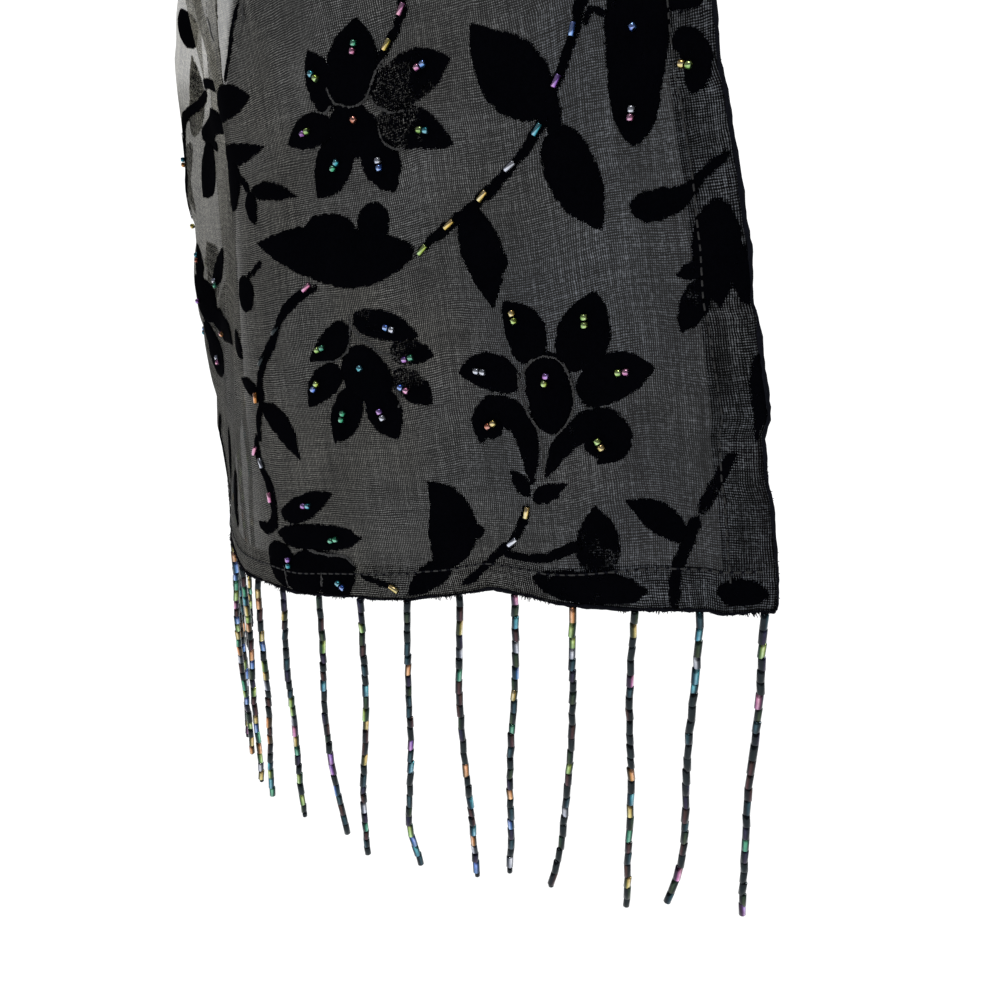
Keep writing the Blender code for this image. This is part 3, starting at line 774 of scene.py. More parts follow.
class Nodes:
    """Adds the nodes of one tree."""

    def __init__(self, tree):
        self.tree = tree

    def node(self, kind, settings=None, output=0, **sockets):
        """Adds a node: its settings first, then values or links for its sockets."""
        node = self.tree.nodes.new(kind)
        for key, value in (settings or {}).items():
            setattr(node, key, value)
        for key, value in sockets.items():
            socket = node.inputs[int(key[1:])] if key[0] == "i" and key[1:].isdigit() else node.inputs[key]
            self.put(socket, value)
        return Value(self.tree, node.outputs[output])

    def put(self, socket, value):
        """Links a value to a socket, or sets the socket to a plain one."""
        if isinstance(value, Value):
            self.tree.links.new(value.socket, socket)
        else:
            socket.default_value = value

    def mix(self, factor, first, second):
        """Mixes two colours."""
        return self.node("ShaderNodeMix", dict(data_type="RGBA"), 2, i0=factor, i6=first, i7=second)


class Look(Nodes):
    """A node material with one Principled shader."""

    def __init__(self, name):
        self.material = bpy.data.materials.new(name)
        self.material.use_nodes = True
        super().__init__(self.material.node_tree)

    def place(self):
        """Place on the piece, in metres."""
        return self.node("ShaderNodeTexCoord", output="Object")

    def noise(self, vector, scale, detail=2.0, rough=0.5):
        return self.node("ShaderNodeTexNoise", Vector=vector, Scale=scale, Detail=detail, Roughness=rough)

    def tinted(self, colour, amount):
        """A colour made lighter or darker by a number."""
        grey = self.node("ShaderNodeCombineColor", Red=amount, Green=amount, Blue=amount)
        settings = dict(data_type="RGBA", blend_type="MULTIPLY")
        return self.node("ShaderNodeMix", settings, 2, i0=1.0, i6=colour, i7=grey)

    def bump(self, height, strength, distance):
        return self.node("ShaderNodeBump", Strength=strength, Distance=distance, Height=height)

    def attribute(self, name):
        """A number that the mesh carries at each point."""
        return self.node("ShaderNodeAttribute", dict(attribute_name=name), 2)

    def stretched(self, vector, scale):
        return self.node("ShaderNodeMapping", Vector=vector, Scale=scale)

    def finish(self, **sockets):
        """Sets the shader's sockets, a space in whose names is written as _."""
        for key, value in sockets.items():
            self.put(self.tree.nodes["Principled BSDF"].inputs[key.replace("_", " ")], value)
        return self.material


def rgba(colour, red=1.0, green=1.0, blue=1.0):
    """A colour for a socket, each channel made lighter or darker."""
    return (colour[0] * red, colour[1] * green, colour[2] * blue, 1.0)


def sheer_ground():
    """Fine open plain weave: two sets of threads that waver, with thicker threads and soft smudges, painted
    shade of soft folds and of creases along the right edge and in its lower corner, and open places and end
    hems painted lighter as if lit from behind, the side hems darker.
    """
    look = Look("burnout_ground")
    ground = bpy.context.scene.shawl_colours.ground
    place = look.node("ShaderNodeUVMap", dict(uv_map="cloth"))
    across = look.node("ShaderNodeSeparateXYZ", Vector=place)
    up = Value(look.tree, across.socket.node.outputs["Y"])
    waver = look.noise(place, 28.0, 3.0)
    waver_up = look.noise(look.stretched(place, (0.8, 1.5, 1.0)), 30.0, 3.0)
    shiver = look.noise(place, 210.0, 2.0) * 7.0
    warp = ((across * (2 * math.pi / WARP_PITCH) + waver * 44.0 + shiver).sine() * 0.5 + 0.5) ** 4.0
    weft = ((up * (2 * math.pi / WEFT_PITCH) + waver_up * 44.0 + shiver).sine() * 0.5 + 0.5) ** 4.0
    leading = look.noise(place, 75.0, 2.0).step(0.36, 0.64)
    crossing = warp * weft * 5.2
    weave = warp * (leading * 1.4 + 0.80) + weft * (1.65 - leading * 1.4) + crossing * 0.6 - 0.1
    slub = look.noise(look.stretched(place, (900.0, 34.0, 1.0)), 1.0, 2.0) - 0.5
    slub_over = look.noise(look.stretched(place, (38.0, 820.0, 1.0)), 1.0, 2.0) - 0.5
    grain = look.noise(place, 950.0, 2.0) - 0.5
    # Soft smudges and painted shade of soft folds: broad patches where the tone is darker
    smudge_and_fold_shade = look.noise(place, 34.0, 4.0, 0.6).step(0.34, 0.64)
    # Painted shade of soft folds, in smaller mottled patches
    mottled_fold_shade = look.noise(place, 120.0, 3.0, 0.6).step(0.28, 0.46)
    thin = look.attribute("thin")
    hem = look.attribute("hem")
    blurred = (1.0 - thin * 0.6).above(0.2)
    threads = weave * blurred + (1.0 - blurred)
    sharp = across.step(0.04, 0.13) * 0.7 + 0.65
    tone = threads * (sharp + 1.0) - sharp + slub * 5.0 + slub_over * 3.8 + grain * 7.5
    tone = tone * (0.76 + smudge_and_fold_shade * 0.34) * (0.72 + mottled_fold_shade * 0.28)
    # Painted light: end hems lighter, in place of light that their turned layer holds back, side hems
    # darker, and open places lighter, as if lit from behind
    tone = tone.above(0.05) * (1.0 + hem * 0.30) * (1.0 + thin * 0.8)
    # Painted shade of creases and crinkles in a band along the right edge, weaker higher up
    right = (1.0 - across.step(0.010, 0.052)) * (1.0 - up.step(0.050, 0.120) * 0.45)
    painted_crease_shade = look.noise(look.stretched(place, (130.0, 34.0, 1.0)), 1.0, 4.0, 0.65).step(0.42, 0.58)
    crinkle_shade = look.noise(place, 230.0, 3.0, 0.6).step(0.42, 0.60)
    # Painted shade in the lower right corner
    edge = 1.0 - across.step(0.004, 0.030)
    corner = edge * (1.0 - up.step(0.03, 0.11))
    tone = tone * (1.0 - right * (painted_crease_shade * 0.40 + crinkle_shade * 0.28 - 0.06) - corner * 0.16)
    side = across.step(0.02, 0.15)
    cast = look.noise(place, 19.0, 2.0).step(0.35, 0.65)
    tint = look.mix(side + cast * 0.5 - 0.25, rgba(ground, 0.92, 0.98, 1.08), rgba(ground, 1.05, 1.02, 0.92))
    # Open places painted warmer, as if lit from behind
    tint = look.mix(thin * 0.6, tint, rgba(ground, 1.14, 1.09, 0.88))
    gaps = 1.35 - threads * 0.35
    open_share = (0.012 + thin * 0.25) * gaps.above(0.3)
    return look.finish(Base_Color=look.tinted(tint, tone), Alpha=1.0 - open_share,
                       Roughness=0.82 + grain * 0.2, Specular_IOR_Level=0.10,
                       Normal=look.bump(weave, 0.35, 0.00012))


def velvet_pile():
    """Deep black pile: a ragged rim, rubbed specks and a slight shift of tint, with painted sheen where it
    is lighter.
    """
    look = Look("velvet_pile")
    velvet = bpy.context.scene.shawl_colours.velvet
    place = look.place()
    wear = look.attribute("wear")
    fibres = look.noise(place, 2100.0, 2.0) - 0.5
    tufts = look.noise(place, 700.0, 2.0) - 0.5
    ragged = look.noise(place, 330.0, 1.0) - 0.5
    rim = (look.attribute("inset") + fibres * 2.0 + tufts * 1.6 + ragged * 1.2).step(0.14, 0.50)
    specks = look.noise(place, 1500.0, 2.0).step(0.47, 0.58)
    patch = look.noise(place, 190.0, 2.0)
    rubbed = specks * (patch + wear * 0.42).step(0.66, 0.86) * wear.step(0.0, 0.3)
    # Slow shift of tint, and painted sheen in its lighter patches
    tint_and_painted_sheen = look.noise(place, 60.0, 2.0)
    tint = look.mix(tint_and_painted_sheen, rgba(velvet, 0.85, 0.9, 1.1), rgba(velvet, 1.3, 1.2, 1.25))
    tone = 0.75 + fibres * 0.9 + tufts * 0.7 + tint_and_painted_sheen * 0.5
    return look.finish(Base_Color=look.tinted(tint, tone), Alpha=rim * (1.0 - rubbed),
                       Roughness=0.92 + fibres * 0.1, Specular_IOR_Level=0.004,
                       Normal=look.bump(fibres + tufts, 0.5, 0.0002))


def bare_line():
    """Ground that shows between two petals, with stray fibres of pile across it."""
    look = Look("bare_line")
    ground = bpy.context.scene.shawl_colours.ground
    place = look.place()
    fibres = look.noise(place, 1500.0, 2.0) - 0.5
    gaps = look.noise(place, 420.0, 2.0) - 0.5
    rim = (look.attribute("inset") + fibres * 1.0 + gaps * 1.1).step(0.06, 0.26)
    colour = look.tinted(rgba(ground, 1.15, 1.15, 1.15), 0.9 + fibres * 2.4)
    return look.finish(Base_Color=colour, Alpha=rim, Roughness=0.85 + gaps * 0.1, Specular_IOR_Level=0.08,
                       Normal=look.bump(fibres, 0.3, 0.0001))


def sewing_thread():
    """Fine twisted thread."""
    look = Look("sewing_thread")
    twist = look.noise(look.place(), 1800.0, 2.0)
    colour = look.tinted(rgba(bpy.context.scene.shawl_colours.thread), 0.5 + twist)
    return look.finish(Base_Color=colour, Roughness=0.6 + twist * 0.2, Specular_IOR_Level=0.25,
                       Normal=look.bump(twist, 0.4, 0.0001))


def rolled_edge():
    """Edge of the cloth, rolled tight enough to read as black."""
    look = Look("rolled_edge")
    fray = look.noise(look.place(), 900.0, 3.0)
    colour = look.tinted(rgba(bpy.context.scene.shawl_colours.velvet, 5.0, 5.0, 5.0), 0.4 + fray * 1.2)
    return look.finish(Base_Color=colour, Roughness=0.85 + fray * 0.1, Specular_IOR_Level=0.05,
                       Normal=look.bump(fray, 0.6, 0.0002))


def coated_glass():
    """Glass beads with a thin metal coating that shades from one colour to another; their point colours hold
    painted highlights.
    """
    look = Look("coated_glass")
    coating = look.node("ShaderNodeAttribute", dict(attribute_name="coating"))
    haze = look.noise(look.place(), 900.0, 2.0)
    colour = look.tinted(coating, 0.55 + haze * 0.9)
    return look.finish(Base_Color=colour, Metallic=0.75 + haze * 0.25, Roughness=0.14 + haze * 0.16,
                       Coat_Weight=0.12, Coat_Roughness=0.05)


def link(name, data):
    """Puts data in the scene as an object."""
    made = bpy.data.objects.new(name, data)
    bpy.context.collection.objects.link(made)
    return made


def place_object(name, data, material):
    """Puts a finished mesh or curve in the scene as a piece on the body."""
    data.materials.append(material)
    piece = link(name, data)
    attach(piece, "root")
    return piece


def arrays_of(shape):
    """Corner places and faces of a bmesh, which is then freed."""
    shape.verts.index_update()
    points = np.array([v.co[:] for v in shape.verts])
    faces = [tuple(v.index for v in f.verts) for f in shape.faces]
    shape.free()
    return points, faces


def joined_mesh(name, blocks):
    """One mesh from many copies. blocks: points and faces of each copy."""
    points = []
    faces = []
    count = 0
    for block, block_faces in blocks:
        points.append(block)
        faces += [tuple(i + count for i in face) for face in block_faces]
        count += len(block)
    mesh = bpy.data.meshes.new(name)
    mesh.from_pydata(np.concatenate(points).tolist(), [], faces)
    mesh.shade_smooth()
    return mesh


def add_numbers(mesh, name, values):
    """Gives a mesh one number for each of its points."""
    layer = mesh.attributes.new(name, "FLOAT", "POINT")
    layer.data.foreach_set("value", np.asarray(values, np.float32))


def cloth_mesh(name, stretch, hem, rows):
    """Sheer cloth as one sheet, its hems turned under behind it. hem: which of its rows is an end hem."""
    inner = np.linspace(0, WIDTH, COLUMNS)[1:-1]
    turned = np.linspace(SIDE_HEM, HEM_ROLL, SIDE_HEM_STEPS)
    rolled = np.append(np.ones(SIDE_HEM_STEPS), 0.5)
    across = np.concatenate([turned, [0.0], inner, [WIDTH], WIDTH - turned[::-1]])
    sunk = np.concatenate([rolled, np.zeros(len(inner)), rolled[::-1]])
    share = np.linspace(0, 1, rows)
    share_sunk = np.zeros(rows)
    under = np.linspace(END_HEM, HEM_ROLL, END_HEM_STEPS) / float(np.mean(stretch.length))
    rolled = np.append(np.ones(END_HEM_STEPS), 0.5)
    if hem == "first":
        share = np.concatenate([under, share])
        share_sunk = np.concatenate([rolled, share_sunk[1:]])
    if hem == "last":
        share = np.concatenate([share, 1 - under[::-1]])
        share_sunk = np.concatenate([share_sunk[:-1], rolled[::-1]])
    s, r = np.meshgrid(across, share)
    points, out = stretch.read(s, r)
    points = points - out * (HEM_LAYER * (sunk[None, :] + share_sunk[:, None]))[:, :, None]
    up = stretch.up(s, r)
    high, wide = points.shape[:2]
    corners = np.arange(high * wide).reshape(high, wide)
    faces = np.stack([corners[1:, :-1], corners[1:, 1:], corners[:-1, 1:], corners[:-1, :-1]], 2)
    mesh = bpy.data.meshes.new(name)
    mesh.from_pydata(points.reshape(-1, 3).tolist(), [], faces.reshape(-1, 4).tolist())
    mesh.shade_smooth()
    layer = mesh.uv_layers.new(name="cloth")
    loops = np.empty(len(mesh.loops), np.int32)
    mesh.loops.foreach_get("vertex_index", loops)
    uv = np.stack([s.ravel(), up.ravel()], 1)[loops]
    layer.uv.foreach_set("vector", uv.astype(np.float32).ravel())
    return mesh, s.ravel(), up.ravel()


def new_sheet(name, kind, hem, rows, node):
    """One stretch of the sheer cloth, with its hem mask (the end hems painted lighter, in place of light
    that their turned layer holds back, and the side hems darker) and how open its left side is, which is
    also painted lighter as if lit from behind.
    """
    mesh, s, up = cloth_mesh(name, cloth().stretches[kind], hem, rows)
    # Hem mask: the ground material paints the end hems lighter, in place of light that their turned layer
    # holds back, and the side hems darker
    sides = -0.5 * (1 - smooth(SIDE_HEM - 0.003, SIDE_HEM + 0.004, np.minimum(s, WIDTH - s)))
    ends = np.zeros(len(up))
    if hem:
        ends = 1 - smooth(END_HEM - 0.001, END_HEM + 0.0005, up if hem == "first" else LENGTH - up)
    add_numbers(mesh, "hem", np.maximum(sides, ends))
    # How open the ground is: more light goes through there, and the ground material also paints it lighter
    # and warmer, as if lit from behind
    low = smooth(*OPEN_ACROSS, s) * (0.16 + 0.84 * smooth(*OPEN_START, up)) * (1 - smooth(*OPEN_END, up))
    from_stem = s - 0.158 - (0.200 - up) * 0.5
    patch = smooth(0.0, 0.004, from_stem) * smooth(*PATCH_START, up) * (1 - smooth(*PATCH_END, up))
    turned = smooth(*TURNED_ACROSS, s) * (1 - smooth(*TURNED_END, up)) * smooth(*TURNED_START, up)
    add_numbers(mesh, "thin", low * 0.95 + 0.95 * patch + 0.4 * turned)
    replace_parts(place_object(name, mesh, bpy.data.materials["burnout_ground"]), node)


def blade_template(rows):
    """Thin closed pad from -1 to 1 across and 0 to 1 along, its two faces at heights 0 and 1."""
    pad = bmesh.new()
    bmesh.ops.create_grid(pad, x_segments=4, y_segments=rows, size=1.0)
    for v in pad.verts:
        side = abs(v.co.x)
        if 0.1 < side < 0.9:
            v.co.x = math.copysign(0.66, v.co.x)
        v.co.y = (v.co.y + 1) / 2
    bmesh.ops.solidify(pad, geom=pad.faces[:], thickness=1.0)
    bmesh.ops.recalc_face_normals(pad, faces=pad.faces[:])
    for v in pad.verts:
        v.co.z = 1.0 if v.co.z > -0.5 else 0.0
    if sum(f.normal.z for f in pad.faces if min(v.co.z for v in f.verts) > 0.5) < 0:
        bmesh.ops.reverse_faces(pad, faces=pad.faces[:])
    return arrays_of(pad)


def blade(row, shift, template, number, pile, raised=0.0):
    """Places a velvet shape: its points on the cloth, its depth inside its rim, and its wear."""
    points, faces = template
    spine = np.array(row["spine"], float) + shift
    reach = np.concatenate([[0], np.cumsum(np.linalg.norm(np.diff(spine, axis=0), axis=1))])
    t = points[:, 1]
    middle, ahead, behind = (through(reach, spine, share * reach[-1])
                             for share in (t, np.minimum(t + 0.01, 1), np.maximum(t - 0.01, 0)))
    along = ahead - behind
    along /= np.linalg.norm(along, axis=1, keepdims=True)
    aside = np.stack([-along[:, 1], along[:, 0]], 1)
    shape = SHAPES[row["kind"]]
    half = (row["wide"] + PILE_SPREAD) / 2 * through(np.linspace(0, 1, len(shape)), shape, t)
    rim = np.sign(points[:, 0])
    ripple = 0.16 * np.sin(t * reach[-1] * 1.15 + number * 2.1 + rim * 1.4) * np.abs(points[:, 0])
    placed = middle + aside * (points[:, 0] * half + rim * ripple)[:, None]
    across = np.clip(placed[:, 0] * MM, 0.0002, WIDTH - 0.0002)
    up = np.clip(placed[:, 1] * MM, 0.0004, LENGTH - 0.0004)
    inset = np.minimum((1 - np.abs(points[:, 0])) * half, np.minimum(t, 1 - t) * reach[-1] + 0.12)
    crown = smooth(0.0, 1.2, inset)
    layer = PAD_STAGGER * (number % 3)
    low = raised if raised else -PAD_LIFT - layer - 0.00008 * crown
    lift = np.where(points[:, 2] > 0.5, raised + PAD_LIFT + layer + pile * crown, low)
    places, _ = cloth().at(across, up, lift)
    return places, faces, inset, row.get("worn", 0.0) * (1 - 0.85 * smooth(0.30, 0.80, t))


def left_out(lay, across, up):
    """Whether a place of the repeat is in the part that a lay leaves out."""
    clear = lay["clear"]
    return bool(clear) and clear[0] < across < clear[1] and clear[2] <= up < clear[3]


def laid(rows):
    """Every row of a table wherever the repeat is laid, with its lay, shift and middle."""
    for lay in LAYS:
        shift = np.array((lay["across"], lay["up"]), float)
        for row in rows:
            yield lay, row, shift, np.mean(row["spine"], axis=0) + shift


def bare_rows():
    """Every bare line with its shift."""
    for _, row, shift, middle in laid(BARE_LINES):
        if middle[0] < WIDTH / MM - 2 and middle[1] < LENGTH / MM - 2:
            yield row, shift


def pattern_rows():
    """Every velvet shape with its shift and its place up the cloth."""
    for lay, row, shift, middle in laid(SPRAY):
        inside = -2 < middle[0] < WIDTH / MM + 2 and 0 < middle[1] < LENGTH / MM
        if inside and not left_out(lay, *(middle - shift)):
            yield row, shift, middle[1] * MM
    for row in LEFT_SIDE:
        yield row, np.zeros(2), np.mean(row["spine"], axis=0)[1] * MM


class SHAWL_OT_cloth(bpy.types.Operator):
    """Lay out the sheer cloth in its three stretches"""
    bl_idname = "shawl.cloth"
    bl_label = "Sheer cloth"

    def execute(self, context):
        sheer_ground()
        new_sheet("cloth_front", "front", "first", FRONT_ROWS, "front_fall")
        new_sheet("cloth_bend", "bend", None, BEND_ROWS, "top_bend")
        new_sheet("cloth_back", "back", "last", BACK_ROWS, "back_fall")
        return {"FINISHED"}


class SHAWL_OT_velvet(bpy.types.Operator):
    """Lay the velvet flowers, leaves and stems on the cloth"""
    bl_idname = "shawl.velvet"
    bl_label = "Velvet pattern"

    def execute(self, context):
        material = velvet_pile()
        pile = context.scene.shawl_sizes.pile
        short = blade_template(9)
        long = blade_template(30)
        groups = {name: [] for name in VELVET_STARTS}
        for number, (row, shift, up) in enumerate(pattern_rows()):
            group = [name for name, start in VELVET_STARTS.items() if up > start][-1]
            template = long if len(row["spine"]) > 4 else short
            groups[group].append(blade(row, shift, template, number, pile))
        for name, blades in groups.items():
            mesh = joined_mesh(name, [(b[0], b[1]) for b in blades])
            add_numbers(mesh, "inset", np.concatenate([b[2] for b in blades]))
            add_numbers(mesh, "wear", np.concatenate([b[3] for b in blades]))
            place_object(name, mesh, material)
        thin = blade_template(11)
        lines = [blade(row, shift, thin, 0, 0.00002, pile + PAD_LIFT) for row, shift in bare_rows()]
        mesh = joined_mesh("bare_lines", [(b[0], b[1]) for b in lines])
        add_numbers(mesh, "inset", np.concatenate([b[2] for b in lines]))
        place_object("bare_lines", mesh, bare_line())
        return {"FINISHED"}


def frames_along(across, up, step_across, step_up, lift):
    """Turns for shapes that lie on the cloth and point the way of a small step."""
    here, out = cloth().at(across, up, lift)
    there, _ = cloth().at(across + step_across, up + step_up, lift)
    along = there - here
    along /= np.linalg.norm(along, axis=-1, keepdims=True)
    out = out - along * np.sum(out * along, axis=-1, keepdims=True)
    out /= np.linalg.norm(out, axis=-1, keepdims=True)
    side = np.cross(out, along)
    return here, np.stack([side, out, along], axis=-1)


def bead_template(radius, length, segments, rounding, steps, holed=True):
    """Bead about the Z axis, its rims rounded and its hole pressed in where that can show."""
    bead = bmesh.new()
    bmesh.ops.create_cone(bead, cap_ends=True, segments=segments, radius1=radius, radius2=radius,
                          depth=length)
    rims = [e for e in bead.edges if any(abs(f.normal.z) > 0.9 for f in e.link_faces)]
    bmesh.ops.bevel(bead, geom=rims, offset=rounding, segments=steps, profile=0.5, affect="EDGES",
                    material=-1)
    if holed:
        caps = [f for f in bead.faces if abs(f.normal.z) > 0.99]
        bmesh.ops.inset_region(bead, faces=caps, thickness=radius * 0.25, depth=-radius * 0.25)
    bmesh.ops.recalc_face_normals(bead, faces=bead.faces[:])
    return arrays_of(bead)


def add_coating(mesh, colours):
    """Gives a mesh the colour of its glass at each point, painted highlights included."""
    layer = mesh.attributes.new("coating", "FLOAT_COLOR", "POINT")
    full = np.concatenate([colours, np.ones((len(colours), 1))], 1)
    layer.data.foreach_set("color", full.astype(np.float32).ravel())


def coating_with_painted_glint(points, coating, lit_side, narrow):
    """Colours of a bead's corners: dark glass with a painted highlight of its coating on the side given by
    lit_side, whiter at its middle.
    """
    first, second = (np.array(c) for c in COATINGS[coating])
    angle = np.arctan2(points[:, 1], points[:, 0]) - lit_side
    painted_flash = ((0.5 + 0.5 * np.cos(angle)) ** narrow)[:, None]
    side = (0.5 + 0.5 * np.sin(angle + points[:, 2] * 700))[:, None]
    dark = np.array(COATINGS["dark"][0]) + second * 0.04
    colour = dark * (1 - painted_flash) + (first * (1 - side * 0.6) + second * side * 0.6) * painted_flash
    painted_glint = 0.55 * painted_flash**max(4.0, 14.0 / narrow) * max(first)
    return colour * (1 - painted_glint) + 0.9 * painted_glint


def sewn_rows(rows, left_rows):
    """Sewn places of the repeat over the whole cloth, then those of the left side."""
    for lay in LAYS:
        for row in rows:
            across = row["across"] + lay["across"]
            up = row["up"] + lay["up"]
            if left_out(lay, row["across"], row["up"]):
                continue
            if 2 < across < WIDTH / MM - 2 and 2 < up < LENGTH / MM - 2:
                yield across * MM, up * MM, row
    for row in left_rows:
        yield row["across"] * MM, row["up"] * MM, row


def sew_beads(name, template, rows, radius, spacing, material):
    """Sews beads on the cloth. spacing: between the middles of a pair."""
    chance = random.Random(SEEDS[name])
    lift = radius * 0.8 + bpy.context.scene.shawl_sizes.pile
    points, faces = template
    blocks = []
    colours = []
    for across, up, row in rows:
        turn = math.radians(row["turn"] + chance.uniform(-6, 6))
        count = len(row["colours"])
        for k, coating in enumerate(row["colours"]):
            way = np.array((math.cos(turn), math.sin(turn)))
            s, u = np.array((across, up)) + (k - (count - 1) / 2) * spacing * way
            here, turned = frames_along(s, u, *(SMALL_STEP * way), lift)
            blocks.append((points @ turned.T + here, faces))
            # Painted highlight on the outward side of a sewn bead
            colours.append(coating_with_painted_glint(points, coating, math.pi / 2 + chance.uniform(-0.5, 0.5), 1.6))
    mesh = joined_mesh(name, blocks)
    add_coating(mesh, np.concatenate(colours))
    place_object(name, mesh, material)


class SHAWL_OT_beads(bpy.types.Operator):
    """Sew the round beads on the petals and the long beads on the stems"""
    bl_idname = "shawl.beads"
    bl_label = "Sewn beads"

    def execute(self, context):
        material = coated_glass()
        sizes = context.scene.shawl_sizes
        radius = sizes.round_bead / 2
        round_bead = bead_template(radius, sizes.round_bead * 0.85, 8, radius * 0.42, 2)
        sew_beads("petal_beads", round_bead, sewn_rows(PETAL_BEADS, LEFT_BEADS), radius,
                  sizes.round_bead * 1.05, material)
        radius = sizes.stem_bead_width / 2
        long_bead = bead_template(radius, sizes.stem_bead, 8, radius * 0.22, 1)
        sew_beads("stem_beads", long_bead, sewn_rows(STEM_BEADS, ()), radius, sizes.stem_bead, material)
        return {"FINISHED"}


class SHAWL_OT_stitches(bpy.types.Operator):
    """Sew the hems down with a row of short stitches"""
    bl_idname = "shawl.stitches"
    bl_label = "Hem stitches"

    def execute(self, context):
        sizes = context.scene.shawl_sizes
        stitch = bmesh.new()
        bmesh.ops.create_cube(stitch, size=1.0)
        bmesh.ops.scale(stitch, vec=(STITCH_WIDTH, STITCH_HEIGHT, sizes.stitch), verts=stitch.verts[:])
        bmesh.ops.bevel(stitch, geom=stitch.edges[:], offset=0.00010, segments=1, profile=0.5,
                        affect="EDGES", material=-1)
        points, faces = arrays_of(stitch)
        chance = random.Random(SEEDS["stitches"])
        pitch = sizes.stitch + sizes.stitch_gap
        lines = []
        for side in (SIDE_HEM - SIDE_STITCH_INSET, WIDTH - SIDE_HEM + SIDE_STITCH_INSET):
            ups = np.arange(END_HEM * 0.8, LENGTH - END_HEM * 0.8, pitch)
            lines.append((np.full(len(ups), side) + 0.0004 * np.sin(ups * 90), ups, 0.0, 0.0005))
        for up in (END_HEM - END_STITCH_INSET, LENGTH - END_HEM + END_STITCH_INSET):
            places = np.arange(SIDE_HEM * 0.3, WIDTH - SIDE_HEM * 0.3, pitch)
            rise = (places - SLANT_MIDDLE) * STITCH_SLANT * (1 if up > END_HEM else -1)
            lines.append((places, up + rise + 0.0004 * np.sin(places * 70), 0.0005, 0.0))
        stitches = []
        shade_dashes = []
        for across, up, step_across, step_up in lines:
            here, turns = frames_along(across, up, step_across, step_up, STITCH_LIFT)
            between = pitch / 2 * np.sign((step_across, step_up))
            sunk, sunk_turns = frames_along(across + between[0], up + between[1], step_across, step_up,
                                            SHADE_DASH_LIFT)
            for place, turn, hole, shade_dash_turn in zip(here, turns, sunk, sunk_turns):
                size = np.array((1, 1, chance.uniform(0.85, 1.15)))
                stitches.append(((points * size) @ turn.T + place, faces))
                if step_across:  # Dark dashes of painted shade, where the thread sinks in, show along the end hems only
                    size = np.array((1.1, 0.8, chance.uniform(0.40, 0.60)))
                    shade_dashes.append(((points * size) @ shade_dash_turn.T + hole, faces))
        place_object("hem_stitches", joined_mesh("hem_stitches", stitches), sewing_thread())
        place_object("sunk_thread_shade", joined_mesh("sunk_thread_shade", shade_dashes), rolled_edge())
        return {"FINISHED"}


def hem_fuzz(material):
    """Short tufts of pile that stick out from the end hems and the side edges."""
    tuft = bmesh.new()
    bmesh.ops.create_cone(tuft, cap_ends=True, segments=4, radius1=TUFT_ROOT, radius2=TUFT_TIP, depth=1.0)
    bmesh.ops.translate(tuft, vec=(0, 0, 0.5), verts=tuft.verts[:])
    points, faces = arrays_of(tuft)
    chance = random.Random(SEEDS["tufts"])
    blocks = []
    for row in TUFTS:
        down = row["across"] is None
        for _ in range(row["count"]):
            s = chance.uniform(0, WIDTH) if down else row["across"]
            u = row["up"] if down else chance.uniform(0, LENGTH)
            here, _ = cloth().at(s, u, chance.uniform(-0.0005, 0.0004))
            inner, _ = cloth().at(s + (0 if down else math.copysign(TUFT_REACH, WIDTH / 2 - s)),
                                  u + (math.copysign(TUFT_REACH, LENGTH / 2 - u) if down else 0))
            lean = (here - inner) / TUFT_REACH + np.array([chance.uniform(-1, 1) for _ in range(3)]) * 0.8
            lean /= np.linalg.norm(lean)
            tufted = 0.6 + 0.6 * smooth(0.0, 0.9, math.sin(s * 310) * math.sin(s * 127 + 1.0))
            size = np.array((1, 1, chance.uniform(0.0007, 0.0018) * tufted))
            blocks.append(((points * size) @ turn_to(lean).T + here, faces))
    place_object("hem_fuzz", joined_mesh("hem_fuzz", blocks), material)


class SHAWL_OT_edges(bpy.types.Operator):
    """Roll the four edges of the cloth and let tufts of pile stand out from them"""
    bl_idname = "shawl.edges"
    bl_label = "Rolled edges"

    def execute(self, context):
        chance = random.Random(SEEDS["edges"])
        curve = bpy.data.curves.new("rolled_edges", "CURVE")
        curve.dimensions = "3D"
        curve.bevel_depth = EDGE_RADIUS
        curve.bevel_resolution = 1
        ups = np.linspace(0.0006, LENGTH - 0.0006, 900)
        places = np.linspace(0.0003, WIDTH - 0.0003, 240)
        for across, up in ((0.0, ups), (WIDTH, ups), (places, 0.0), (places, LENGTH)):
            points, _ = cloth().at(across, up, -0.0002)
            line = curve.splines.new("POLY")
            line.points.add(len(points) - 1)
            swell = 0.0
            for point, place in zip(line.points, points):
                swell = swell * 0.72 + chance.uniform(-1, 1) * 0.28
                point.co = (*(place + np.array([chance.uniform(-1, 1) for _ in range(3)]) * 0.00010), 1.0)
                point.radius = max(0.5, 1.15 + swell * 1.5 + chance.uniform(-0.25, 0.25))
        edging = bpy.data.materials["rolled_edge"]
        hem_fuzz(edging)
        place_object("rolled_edges", curve, edging)
        return {"FINISHED"}


